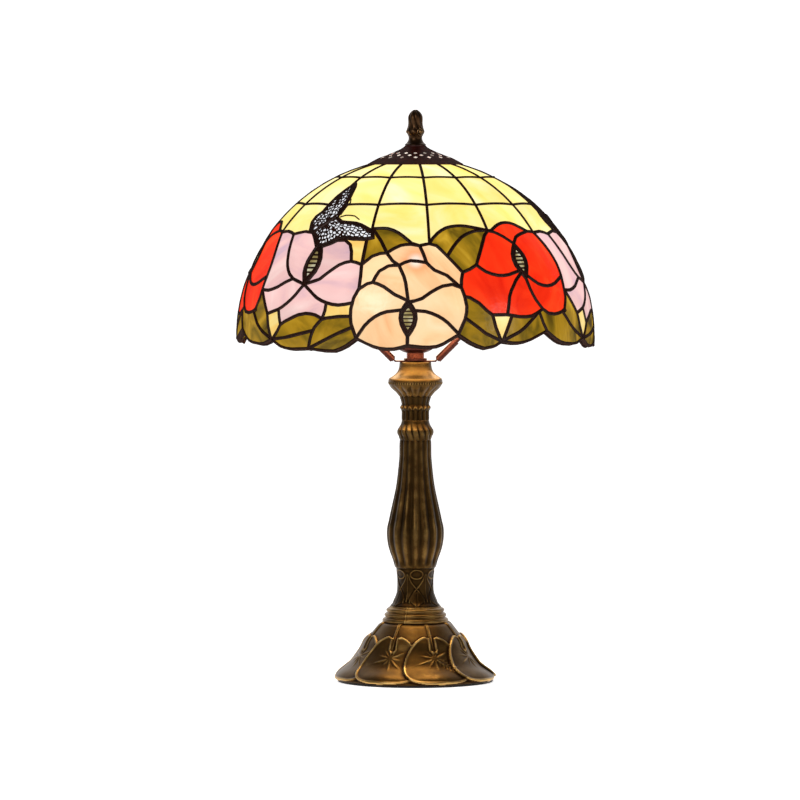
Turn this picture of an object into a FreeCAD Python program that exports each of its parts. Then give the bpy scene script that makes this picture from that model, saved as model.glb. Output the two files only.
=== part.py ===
import FreeCAD, Part
import Sketcher
import math
import os
import re

# Stained glass table lamp: a domed shade of leaded glass on a harp, above a cast bronze
# column with a round base.  Millimetres, +Z up, the front faces -Y.  The origin is the
# centre of the base's underside.

V = FreeCAD.Vector
doc = FreeCAD.newDocument("StainedGlassTableLamp")

# ---------------------------------------------------------------- driving dimensions
sheet = doc.addObject("Spreadsheet::Sheet", "Dimensions")
DIMENSIONS = [
    ("total_height", 482.6),       # 19 in from the table to the tip of the finial
    ("shade_radius", 150.9),       # outer face of the solder; the shade is a 12 in dome
    ("shade_centre_z", 290.7),     # centre of the shade's sphere
    ("solder_depth", 3.6),         # radial depth of the solder network
    ("glass_depth", 2.8),          # thickness of the glass
    ("glass_recess", 0.6),         # how far the glass sits below the solder
    ("shade_mouth_radius", 35.5),  # opening at the top of the shade
    ("base_radius", 67.8),         # outer radius of the base
    ("base_height", 50.0),         # height of the base casting's top
    ("felt_thickness", 1.5),
    ("tube_radius", 5.0),          # M10 lamp tube
    ("tube_bore_radius", 3.7),
    ("casting_bore_radius", 5.3),  # clearance hole for the tube
    ("tube_bottom_z", 34.0),
    ("tube_top_z", 283.0),
    ("column_top_z", 270.0),       # top of the flared cup
    ("foot_bottom_z", 64.0),
    ("vase_bottom_z", 96.0),
    ("vase_top_z", 204.0),
    ("neck_bottom_z", 220.9),
    ("cup_bottom_z", 241.0),
    ("cup_lip_radius", 22.8),
    ("harp_wire_radius", 2.0),
    ("harp_half_width", 50.0),
    ("harp_top_z", 430.0),
    ("stud_radius", 3.1),
    ("stud_hole_radius", 3.3),
    ("stud_top_z", 466.0),
    ("socket_radius", 17.0),
    ("bulb_radius", 30.0),
    ("bulb_centre_z", 375.0),
    ("bulb_cap_radius", 13.0),
    ("vent_row_count", 16),
    ("cord_hole_radius", 3.2),
    ("cord_bushing_radius", 5.5),
    ("cord_bushing_z", 10.5),
]
DIM = {}
for row, (alias, value) in enumerate(DIMENSIONS, start=1):
    sheet.set("A%d" % row, alias)
    sheet.set("B%d" % row, str(value))
    sheet.setAlias("B%d" % row, alias)
    DIM[alias] = float(value)
doc.recompute()


# ---------------------------------------------------------------- helpers
def value_of(item):
    """A number, or a sum of the sheet's names and numbers, as millimetres."""
    if not isinstance(item, str):
        return float(item)
    total = 0.0
    sign = 1.0
    for word in item.split():
        if word in ("+", "-"):
            sign = 1.0 if word == "+" else -1.0
        else:
            total += sign * (DIM[word] if word in DIM else float(word))
    return total


def bound(item):
    """The same expression with each name pointed at the sheet."""
    return re.sub(r"\b([a-z][a-z_]+)\b", r"Dimensions.\1", item)


def pin_point(sketch, geo, radial, upright):
    """Fix the start of line geo at (radial, upright), bound to the sheet where named."""
    for kind, item, axis in (("DistanceX", radial, -2), ("DistanceY", upright, -1)):
        value = value_of(item)
        if abs(value) < 1e-9:
            sketch.addConstraint(Sketcher.Constraint("PointOnObject", geo, 1, axis))
            continue
        index = sketch.addConstraint(Sketcher.Constraint(kind, -1, 1, geo, 1, value))
        if isinstance(item, str):
            sketch.setExpression("Constraints[%d]" % index, bound(item))


def closed_outline(sketch, points):
    """A closed polygon in a sketch, every corner dimensioned from the origin."""
    first = sketch.GeometryCount
    count = len(points)
    spots = [(value_of(a), value_of(b)) for a, b in points]
    for i in range(count):
        a = spots[i]
        b = spots[(i + 1) % count]
        sketch.addGeometry(Part.LineSegment(V(a[0], a[1], 0), V(b[0], b[1], 0)), False)
    for i in range(count):
        after = first + (i + 1) % count
        sketch.addConstraint(Sketcher.Constraint("Coincident", first + i, 2, after, 1))
    for i in range(count):
        pin_point(sketch, first + i, points[i][0], points[i][1])


def origin_plane(body, role):
    for feature in body.Origin.OriginFeatures:
        if feature.Role == role:
            return feature
    return None


def turned(label, points):
    """A body turned about the lamp's axis from an outline of (radius, height) corners."""
    body = doc.addObject("PartDesign::Body", label)
    body.Label = label
    sketch = body.newObject("Sketcher::SketchObject", label + "_profile")
    sketch.AttachmentSupport = [(origin_plane(body, "XZ_Plane"), "")]
    sketch.MapMode = "FlatFace"
    closed_outline(sketch, points)
    turning = body.newObject("PartDesign::Revolution", label + "_turning")
    turning.Profile = sketch
    turning.ReferenceAxis = (sketch, ["V_Axis"])
    turning.Angle = 360.0
    body.Tip = turning
    doc.recompute()
    return body


def ring(label, outer, inner, low, high):
    """A plain washer or tube between two heights."""
    return turned(label, [(inner, low), (outer, low), (outer, high), (inner, high)])


def hex_nut(label, across, low, high):
    """A hexagon nut on the lamp tube: a prism less the tube's thread."""
    prism = doc.addObject("Part::Prism", label + "_hexagon")
    prism.Polygon = 6
    prism.Circumradius = across / math.sqrt(3.0)
    prism.Height = high - low
    prism.Placement = FreeCAD.Placement(V(0, 0, low), FreeCAD.Rotation())
    hole = doc.addObject("Part::Cylinder", label + "_thread")
    hole.setExpression("Radius", "Dimensions.tube_radius")
    hole.Height = high - low + 2.0
    hole.Placement = FreeCAD.Placement(V(0, 0, low - 1.0), FreeCAD.Rotation())
    nut = doc.addObject("Part::Cut", label)
    nut.Base = prism
    nut.Tool = hole
    nut.Label = label
    return nut


def feature(label, shape):
    """A piece whose form is worked out below, kept as one object."""
    obj = doc.addObject("Part::Feature", label)
    obj.Shape = shape
    obj.Label = label
    return obj


NODES = []


def keep(obj):
    NODES.append(obj)
    return obj


# ---------------------------------------------------------------- base
keep(ring("felt_pad", "base_radius - 2.2", 8.0, 0.0, "felt_thickness"))
keep(ring("base_board", "base_radius - 3.2", 8.0, "felt_thickness", "felt_thickness + 2.5"))

base_body = turned("base_casting", [
    ("base_radius - 2.0", "felt_thickness"),
    ("base_radius", "felt_thickness"),
    ("base_radius", "felt_thickness + 1.0"),
    ("base_radius - 0.4", 5.0),
    ("base_radius - 3.4", 8.4),
    ("base_radius - 11.9", 15.2),
    ("base_radius - 17.3", 21.9),
    ("base_radius - 21.9", 28.7),
    ("base_radius - 25.3", 35.4),
    ("base_radius - 30.6", 42.2),
    (34.8, 45.2),
    (31.0, "base_height - 1.1"),
    (28.8, "base_height"),
    (24.0, "base_height"),
    (24.0, "base_height - 5.0"),
    (29.6, "base_height - 5.0"),
    (34.6, 40.5),
    (39.4, 34.0),
    (42.8, 27.5),
    (47.5, 20.5),
    (53.0, 14.0),
    (61.2, 7.4),
    ("base_radius - 2.3", 4.6),
])
# eight shallow notches part the rim into eight lily-pad lobes
notch_sketch = base_body.newObject("Sketcher::SketchObject", "rim_notch_outline")
notch_sketch.AttachmentSupport = [(origin_plane(base_body, "XY_Plane"), "")]
notch_sketch.MapMode = "FlatFace"
closed_outline(notch_sketch, [
    ("base_radius - 1.1", 0.0),
    ("base_radius + 1.0", 2.6),
    ("base_radius + 1.0", -2.6),
])
notch_sketch.AttachmentOffset = FreeCAD.Placement(V(0, 0, 0), FreeCAD.Rotation(V(0, 0, 1), -3.5))
notch = base_body.newObject("PartDesign::Pocket", "rim_notch")
notch.Profile = notch_sketch
notch.Length = 12.0
notch.Midplane = True
notch.Refine = False
notch_pattern = base_body.newObject("PartDesign::PolarPattern", "rim_notches")
notch_pattern.Originals = [notch]
notch_pattern.Axis = (notch_sketch, ["N_Axis"])
notch_pattern.Angle = 360.0
notch_pattern.Occurrences = 8
base_body.Tip = notch_pattern
doc.recompute()
# the cord's hole through the back of the skirt
cord_tool = doc.addObject("Part::Cylinder", "cord_hole")
cord_tool.setExpression("Radius", "Dimensions.cord_bushing_radius")
cord_tool.Height = 40.0
cord_tool.Placement = FreeCAD.Placement(V(0, 40, DIM["cord_bushing_z"]),
                                        FreeCAD.Rotation(V(1, 0, 0), -90))
cord_tool.setExpression("Placement.Base.z", "Dimensions.cord_bushing_z")
base_cut = doc.addObject("Part::Cut", "base_casting_drilled")
base_cut.Base = base_body
base_cut.Tool = cord_tool
base_body.Label = "base_casting_blank"
base_cut.Label = "base_casting"
keep(base_cut)

bushing = turned("cord_bushing", [
    ("cord_hole_radius", 48.0),
    ("cord_bushing_radius", 48.0),
    ("cord_bushing_radius", 66.5),
    ("cord_hole_radius", 66.5),
])
bushing.Placement = FreeCAD.Placement(V(0, 0, DIM["cord_bushing_z"]),
                                      FreeCAD.Rotation(V(1, 0, 0), -90))
bushing.setExpression("Placement.Base.z", "Dimensions.cord_bushing_z")
keep(bushing)

# a round plate in the casting's mouth carries the column and takes the tube's nut
keep(ring("base_plate", 23.9, "casting_bore_radius", "base_height - 5.0", "base_height"))
keep(ring("lamp_tube", "tube_radius", "tube_bore_radius", "tube_bottom_z", "tube_top_z"))
keep(ring("base_washer", 14.0, "casting_bore_radius", "base_height - 6.5", "base_height - 5.0"))
keep(hex_nut("base_nut", 17.0, 37.5, 43.5))

# ---------------------------------------------------------------- column castings
keep(turned("ring_band", [
    ("casting_bore_radius", "base_height"),
    (27.3, "base_height"),
    (27.9, 51.6),
    (27.2, 53.4),
    (25.8, 54.2),
    (26.2, 55.9),
    (25.6, 57.6),
    (24.2, 58.4),
    (24.6, 60.1),
    (23.8, 61.7),
    (22.2, 62.5),
    (21.8, "foot_bottom_z"),
    ("casting_bore_radius", "foot_bottom_z"),
]))
keep(turned("column_foot", [
    ("casting_bore_radius", "foot_bottom_z"),
    (21.4, "foot_bottom_z"),
    (19.2, 66.4),
    (17.7, 69.0),
    (16.3, 72.4),
    (15.4, 75.9),
    (15.0, 82.6),
    (15.2, 89.4),
    (16.4, "vase_bottom_z"),
    ("casting_bore_radius", "vase_bottom_z"),
]))


def fluted(stations, count, share):
    """A solid whose cross-section is a ring of count ridges, lofted through stations."""
    wires = []
    for height, radius in stations:
        corners = []
        for k in range(2 * count):
            angle = math.pi * k / count
            reach = radius * (1.0 if k % 2 == 0 else 1.0 - share)
            corners.append(V(reach * math.sin(angle), -reach * math.cos(angle), height))
        wires.append(Part.makePolygon(corners + [corners[0]]))
    return Part.makeLoft(wires, True, True)


def turned_solid(points):
    """A turned solid of (radius, height) corners, for cutting cavities."""
    face = Part.Face(Part.makePolygon([V(r, 0, z) for r, z in points + [points[0]]]))
    return face.revolve(V(0, 0, 0), V(0, 0, 1), 360.0)


VASE = [
    (DIM["vase_bottom_z"], 16.9), (102.8, 19.0), (109.6, 21.7), (116.0, 23.4), (123.0, 24.2),
    (129.8, 24.0), (136.6, 22.4), (143.0, 21.1), (150.0, 19.5), (156.8, 18.0), (163.5, 16.6),
    (170.0, 15.6), (177.0, 14.8), (183.8, 14.1), (190.0, 13.6), (DIM["vase_top_z"], 13.2),
]
vase_hollow = turned_solid([
    (0.0, 100.0), (12.5, 100.0), (16.5, 110.0), (19.0, 121.0), (18.6, 131.0), (15.8, 145.0),
    (12.4, 160.0), (10.0, 178.0), (9.0, 199.0), (0.0, 199.0),
])
tube_hole = Part.makeCylinder(DIM["casting_bore_radius"], 300.0)
vase_shape = fluted(VASE, 16, 0.07).cut(vase_hollow).cut(tube_hole)
keep(feature("baluster_vase", vase_shape))

keep(turned("gadroon_collar", [
    ("casting_bore_radius", "vase_top_z"),
    (13.1, "vase_top_z"),
    (13.9, 207.4),
    (14.6, 209.2),
    (14.8, 210.8),
    (14.6, 212.4),
    (13.9, 214.0),
    (12.3, 217.5),
    (11.4, "neck_bottom_z"),
    ("casting_bore_radius", "neck_bottom_z"),
]))
keep(turned("column_neck", [
    ("casting_bore_radius", "neck_bottom_z"),
    (11.4, "neck_bottom_z"),
    (11.4, 227.6),
    (12.2, 230.0),
    (12.3, 231.4),
    (11.5, 234.4),
    (12.2, 237.7),
    (13.1, "cup_bottom_z"),
    ("casting_bore_radius", "cup_bottom_z"),
]))
keep(turned("top_cup", [
    ("casting_bore_radius", "cup_bottom_z"),
    (13.1, "cup_bottom_z"),
    (16.0, 244.5),
    (19.8, 247.8),
    ("cup_lip_radius - 0.5", 251.0),
    ("cup_lip_radius", 253.0),
    ("cup_lip_radius", 254.4),
    ("cup_lip_radius - 0.8", 256.1),
    (20.4, 257.3),
    (17.4, 259.3),
    (15.0, 262.0),
    (13.8, 265.5),
    (13.2, "column_top_z"),
    ("casting_bore_radius", "column_top_z"),
]))

# ---------------------------------------------------------------- harp
LEG_START = V(17.5, 0, DIM["column_top_z"] + 0.6)
LEG_WAY = V(1, 0, 1).normalize()
# distances along a leg from its start
STUB_START = 1.2        # the saddle's round tab begins inside its wing
FERRULE_START = 2.0
LEG_JOINT = 8.0         # the harp's wire meets the tab here, inside the ferrule
FERRULE_LENGTH = 22.0


def rod(start, way, length, radius):
    return Part.makeCylinder(radius, length, start, way)


strap = Part.makeBox(35.0, 11.0, 1.2, V(-17.5, -5.5, DIM["column_top_z"]))
saddle = strap
for side in (1, -1):
    way = V(side * LEG_WAY.x, 0, LEG_WAY.z)
    wing = Part.makeBox(2.0, 11.0, 1.2, V(0, -5.5, -0.6))
    wing.rotate(V(0, 0, 0), V(0, 1, 0), -45.0)
    if side < 0:
        wing = wing.mirror(V(0, 0, 0), V(1, 0, 0))
    wing.translate(V(side * 17.0, 0, LEG_START.z))
    stub_start = V(side * LEG_START.x, 0, LEG_START.z) + way * STUB_START
    stub = rod(stub_start, way, LEG_JOINT - STUB_START, 1.9)
    saddle = saddle.fuse(wing).fuse(stub)
saddle = saddle.cut(tube_hole).removeSplitter()
saddle = saddle.cut(Part.makeBox(60, 60, 5, V(-30, -30, DIM["column_top_z"] - 5.0)))
keep(feature("harp_saddle", saddle))


# Each stretch of the harp's right half, from the foot up: the heading it ends on and its
# bend radius, or its length where it is straight.
HARP_STRETCHES = [("straight", 26.0), ("bend", 90.0, 28.88), ("straight", 59.94),
                  ("bend", 140.0, 60.0), ("bend", 180.0, 38.6)]


def harp_wire():
    """The harp's bent wire: two slanted legs, upright sides and a rounded top."""
    foot = LEG_START + LEG_WAY * LEG_JOINT
    spot = foot
    heading = 45.0
    edges = []
    for stretch in HARP_STRETCHES:
        ahead = V(math.cos(math.radians(heading)), 0, math.sin(math.radians(heading)))
        if stretch[0] == "straight":
            last = spot + ahead * stretch[1]
            edges.append(Part.LineSegment(spot, last).toShape())
        else:
            centre = spot + V(-ahead.z, 0, ahead.x) * stretch[2]
            halfway = math.radians(0.5 * (heading + stretch[1]))
            final = math.radians(stretch[1])
            heading = stretch[1]
            between = centre + V(math.sin(halfway), 0, -math.cos(halfway)) * stretch[2]
            last = centre + V(math.sin(final), 0, -math.cos(final)) * stretch[2]
            edges.append(Part.Arc(spot, between, last).toShape())
        spot = last
    mirrored = [edge.mirror(V(0, 0, 0), V(1, 0, 0)) for edge in edges]
    top = Part.LineSegment(spot, V(-spot.x, 0, spot.z)).toShape()
    print("harp top at", round(spot.x, 2), round(spot.z, 2))
    path = Part.Wire(Part.__sortEdges__(edges + [top] + mirrored))
    rim = Part.Wire([Part.Circle(foot, LEG_WAY, DIM["harp_wire_radius"]).toShape()])
    return path.makePipe(Part.Face(rim))


keep(feature("harp_loop", harp_wire()))

for name, side in (("ferrule_left", -1), ("ferrule_right", 1)):
    way = V(side * LEG_WAY.x, 0, LEG_WAY.z)
    start = V(side * LEG_START.x, 0, LEG_START.z) + way * FERRULE_START
    sleeve = rod(start, way, FERRULE_LENGTH, 3.0)
    shape = sleeve.cut(rod(start, way, FERRULE_LENGTH, 2.1))
    keep(feature(name, shape))

swivel = turned("swivel_stud", [
    (0.0, "harp_top_z + harp_wire_radius"),
    (8.5, "harp_top_z + harp_wire_radius"),
    (8.5, "harp_top_z + 4.0"),
    ("stud_radius", "harp_top_z + 4.0"),
    ("stud_radius", "stud_top_z - 0.8"),
    ("stud_radius - 0.8", "stud_top_z"),
    (0.0, "stud_top_z"),
])
keep(swivel)
keep(ring("shade_rest_washer", 9.5, "stud_hole_radius", "harp_top_z + 4.0", "harp_top_z + 5.0"))

# ---------------------------------------------------------------- socket
keep(ring("check_ring", 9.8, "casting_bore_radius", "column_top_z + 1.2", "column_top_z + 3.0"))
keep(ring("neck_spacer", 7.4, "casting_bore_radius", "column_top_z + 3.0", "column_top_z + 7.6"))
keep(turned("socket_cap", [
    ("casting_bore_radius", "column_top_z + 7.6"),
    (8.0, "column_top_z + 7.6"),
    (11.0, 278.6),
    (14.4, 280.4),
    (15.8, 284.0),
    ("socket_radius - 0.1", 290.0),
    ("socket_radius", 297.0),
    ("socket_radius - 0.8", 297.0),
    ("socket_radius - 1.0", 290.3),
    (14.9, 284.6),
    (13.6, 281.4),
    (10.6, 279.9),
    (7.8, "column_top_z + 8.8"),
    ("casting_bore_radius", "column_top_z + 8.8"),
]))
keep(hex_nut("socket_nut", 12.6, DIM["column_top_z"] + 8.8, DIM["column_top_z"] + 11.6))
keep(ring("socket_shell", "socket_radius - 1.1", "socket_radius - 1.7", 291.0, 330.0))
keep(ring("socket_liner", "socket_radius - 1.8", "socket_radius - 2.6", 291.0, 329.0))
keep(turned("socket_insulator", [
    (0.0, "tube_top_z"), (9.0, "tube_top_z"), (14.3, 287.5), (14.3, 299.0), (0.0, 299.0),
]))
keep(ring("screw_shell", "bulb_cap_radius + 0.8", "bulb_cap_radius + 0.2", 299.0, 324.0))
keep(turned("centre_contact", [(0.0, 299.0), (4.0, 299.0), (3.4, 300.2), (0.0, 300.2)]))

# ---------------------------------------------------------------- bulb
keep(turned("bulb_contact", [(0.0, 300.2), (3.0, 300.2), (4.5, 302.2), (0.0, 302.2)]))
keep(turned("bulb_insulator", [(0.0, 302.2), (4.5, 302.2), (11.0, 305.0), (0.0, 305.0)]))
keep(turned("bulb_cap", [
    (9.0, 305.0), ("bulb_cap_radius", 305.0), ("bulb_cap_radius", 328.0),
    ("bulb_cap_radius - 0.7", 328.0), ("bulb_cap_radius - 0.7", 305.8), (9.0, 305.8),
]))
keep(turned("bulb_globe", [
    (12.2, 312.0), (12.2, 328.0), (13.5, 334.0), (17.2, 342.5), (22.2, 350.0), (26.6, 358.5),
    ("bulb_radius - 0.9", 367.0), ("bulb_radius", "bulb_centre_z"),
    ("bulb_radius - 1.1", "bulb_centre_z + 8.5"), (25.4, "bulb_centre_z + 16.5"),
    (19.6, "bulb_centre_z + 23.0"), (11.5, "bulb_centre_z + 27.8"),
    (0.0, "bulb_centre_z + bulb_radius"),
    (0.0, "bulb_centre_z + bulb_radius - 0.8"), (11.2, "bulb_centre_z + 27.0"),
    (19.1, "bulb_centre_z + 22.3"), (24.8, "bulb_centre_z + 16.1"),
    ("bulb_radius - 1.9", "bulb_centre_z + 8.3"), ("bulb_radius - 0.8", "bulb_centre_z"),
    ("bulb_radius - 1.7", 367.2), (25.9, 358.9), (21.5, 350.4), (16.5, 342.9), (12.8, 334.3),
    (11.4, 328.2), (11.4, 312.0),
]))
keep(turned("bulb_stem", [
    (0.0, 305.0), (8.5, 305.0), (8.5, 306.5), (3.6, 318.0), (2.4, 350.0), (0.0, 350.0),
]))
filament = Part.makeSphere(1.6, V(0, 0, 350.9))
for side in (1, -1):
    reach = V(side * 9.0, 0, 21.0)
    filament = filament.fuse(rod(V(0, 0, 351.0), reach, reach.Length, 0.45))
filament = filament.fuse(rod(V(-9.6, 0, 371.6), V(1, 0, 0), 19.2, 0.8))
filament = filament.cut(Part.makeBox(10, 10, 10, V(-5, -5, 340.0)))
keep(feature("filament_mount", filament.removeSplitter()))

# ---------------------------------------------------------------- shade fittings
keep(ring("shade_collar", "shade_mouth_radius", "shade_mouth_radius - 1.8", 432.6, 437.0))
hub = Part.makeCylinder(10.5, 2.6, V(0, 0, 435.0))
for k in range(3):
    arm = Part.makeBox(34.0, 5.0, 1.6, V(0, -2.5, 435.0))
    arm.rotate(V(0, 0, 0), V(0, 0, 1), 30.0 + 120.0 * k)
    hub = hub.fuse(arm)
hub = hub.common(Part.makeCylinder(DIM["shade_mouth_radius"] - 1.8, 10.0, V(0, 0, 430.0)))
hub = hub.cut(Part.makeCylinder(DIM["stud_hole_radius"], 20.0, V(0, 0, 430.0)))
keep(feature("shade_spider", hub.removeSplitter()))

cap_body = turned("vented_cap", [
    (38.6, 436.9), (40.3, 436.25), (40.5, 436.8), (39.2, 437.6), (35.8, 439.5), (31.2, 441.9),
    (24.4, 444.4), (18.1, 446.9), (12.6, 449.4), (9.6, 451.3), (9.3, 451.9),
    ("stud_hole_radius", 451.9), ("stud_hole_radius", 450.6), (8.6, 450.6), (12.2, 448.2),
    (17.7, 445.7), (24.0, 443.2), (30.7, 440.7), (35.2, 438.4),
])
# each row of vents: its radius, its turn in degrees, and the half width of its diamonds
VENT_ROWS = [(20.4, 0.0, 1.7), (25.0, 11.25, 1.8), (29.8, 0.0, 1.9)]
vent_sketch = cap_body.newObject("Sketcher::SketchObject", "vent_outline")
vent_sketch.AttachmentSupport = [(origin_plane(cap_body, "XY_Plane"), "")]
vent_sketch.MapMode = "FlatFace"
for reach, turn, half in VENT_ROWS:
    diamond = []
    long = half * 1.1
    for along, across in ((-long, 0.0), (0.0, -half), (long, 0.0), (0.0, half)):
        angle = math.radians(turn)
        x = (reach + along) * math.cos(angle) - across * math.sin(angle)
        y = (reach + along) * math.sin(angle) + across * math.cos(angle)
        diamond.append((x, y))
    closed_outline(vent_sketch, diamond)
vent = cap_body.newObject("PartDesign::Pocket", "vent")
vent.Profile = vent_sketch
vent.Length = 960.0
vent.Midplane = True
vents = cap_body.newObject("PartDesign::PolarPattern", "vents")
vents.Originals = [vent]
vents.Axis = (vent_sketch, ["N_Axis"])
vents.Angle = 360.0
vents.Occurrences = int(DIM["vent_row_count"])
vents.setExpression("Occurrences", "Dimensions.vent_row_count")
cap_body.Tip = vents
doc.recompute()
keep(cap_body)

keep(ring("finial_washer", 8.8, "stud_hole_radius", 451.9, 452.7))
keep(turned("finial", [
    ("stud_hole_radius", 452.7), (9.3, 452.7), (9.3, 453.4), (7.6, 454.8), (6.3, 456.9),
    (5.9, 459.4), (6.8, 461.8), (7.5, 463.4), (7.6, 464.8), (7.0, 466.6), (6.1, 469.0),
    (5.9, 471.5), (6.2, 474.5), (5.8, 477.2), (4.2, 479.9), (2.2, "total_height - 1.0"),
    (0.0, "total_height"), (0.0, 468.0), ("stud_hole_radius", 468.0),
]))

# ---------------------------------------------------------------- the shade's pattern
# The pattern is drawn as lead lines in degrees on the dome: longitude from the front,
# positive to the right, and latitude above the widest circle.  One third is drawn here;
# the other two are the same lines turned by 120 and 240 degrees.
FLOWER = 2.7    # lead width in millimetres round the flowers
GRID = 2.1      # lead width of the yellow panels and the rim

LEADS_GRID = [
    [(-66.5, 80), (-66.5, 36.3)], [(-42.5, 80), (-42.5, 58.5)], [(-18.5, 80), (-17.6, 37.6)],
    [(5.5, 80), (5.0, 32.4)], [(29.5, 80), (29.5, 37.3)], [(53.5, 80), (53.5, 36.6)],
]
# two rings of lead cross the yellow panels; the lower one stops at the butterfly's wings
LEADS_RINGS = [[(-66.5 + 24.0 * k, 63.5), (-42.5 + 24.0 * k, 63.5)] for k in range(5)]
LEADS_RINGS += [[(-18.5 + 24.0 * k, 48.3), (5.5 + 24.0 * k, 48.3)] for k in range(3)]
LEADS_RINGS += [[(-66.5, 48.3), (-46.0, 48.3)], [(-35.2, 48.3), (-18.5, 48.3)]]

LEADS_RIM = [
    [(-52.4, 0.6), (-48, -1.6), (-43, -2.3), (-36, -2)],
    [(-36, -2), (-30, -2.6), (-26.5, -2.6), (-22.5, -1), (-19, 1.4)],
    [(-19, 1.4), (-15.5, -0.3), (-11.5, -1.6), (-7, -1.8), (-2.7, -0.7)],
    [(-2.7, -0.7), (2, -1.2), (6.5, -1), (10, 0.6), (13.4, 2.6)],
    [(13.4, 2.6), (17.5, 0), (22, -1.7), (25.5, -1.1), (28, 0.4)],
    [(28, 0.4), (32, -0.2), (36.5, 0), (41, 1.4), (46, 3.3)],
    [(46, 3.3), (49, 1.5), (53, -0.3), (58, -1), (63, -0.9), (67.6, 0.6)],
]

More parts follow.
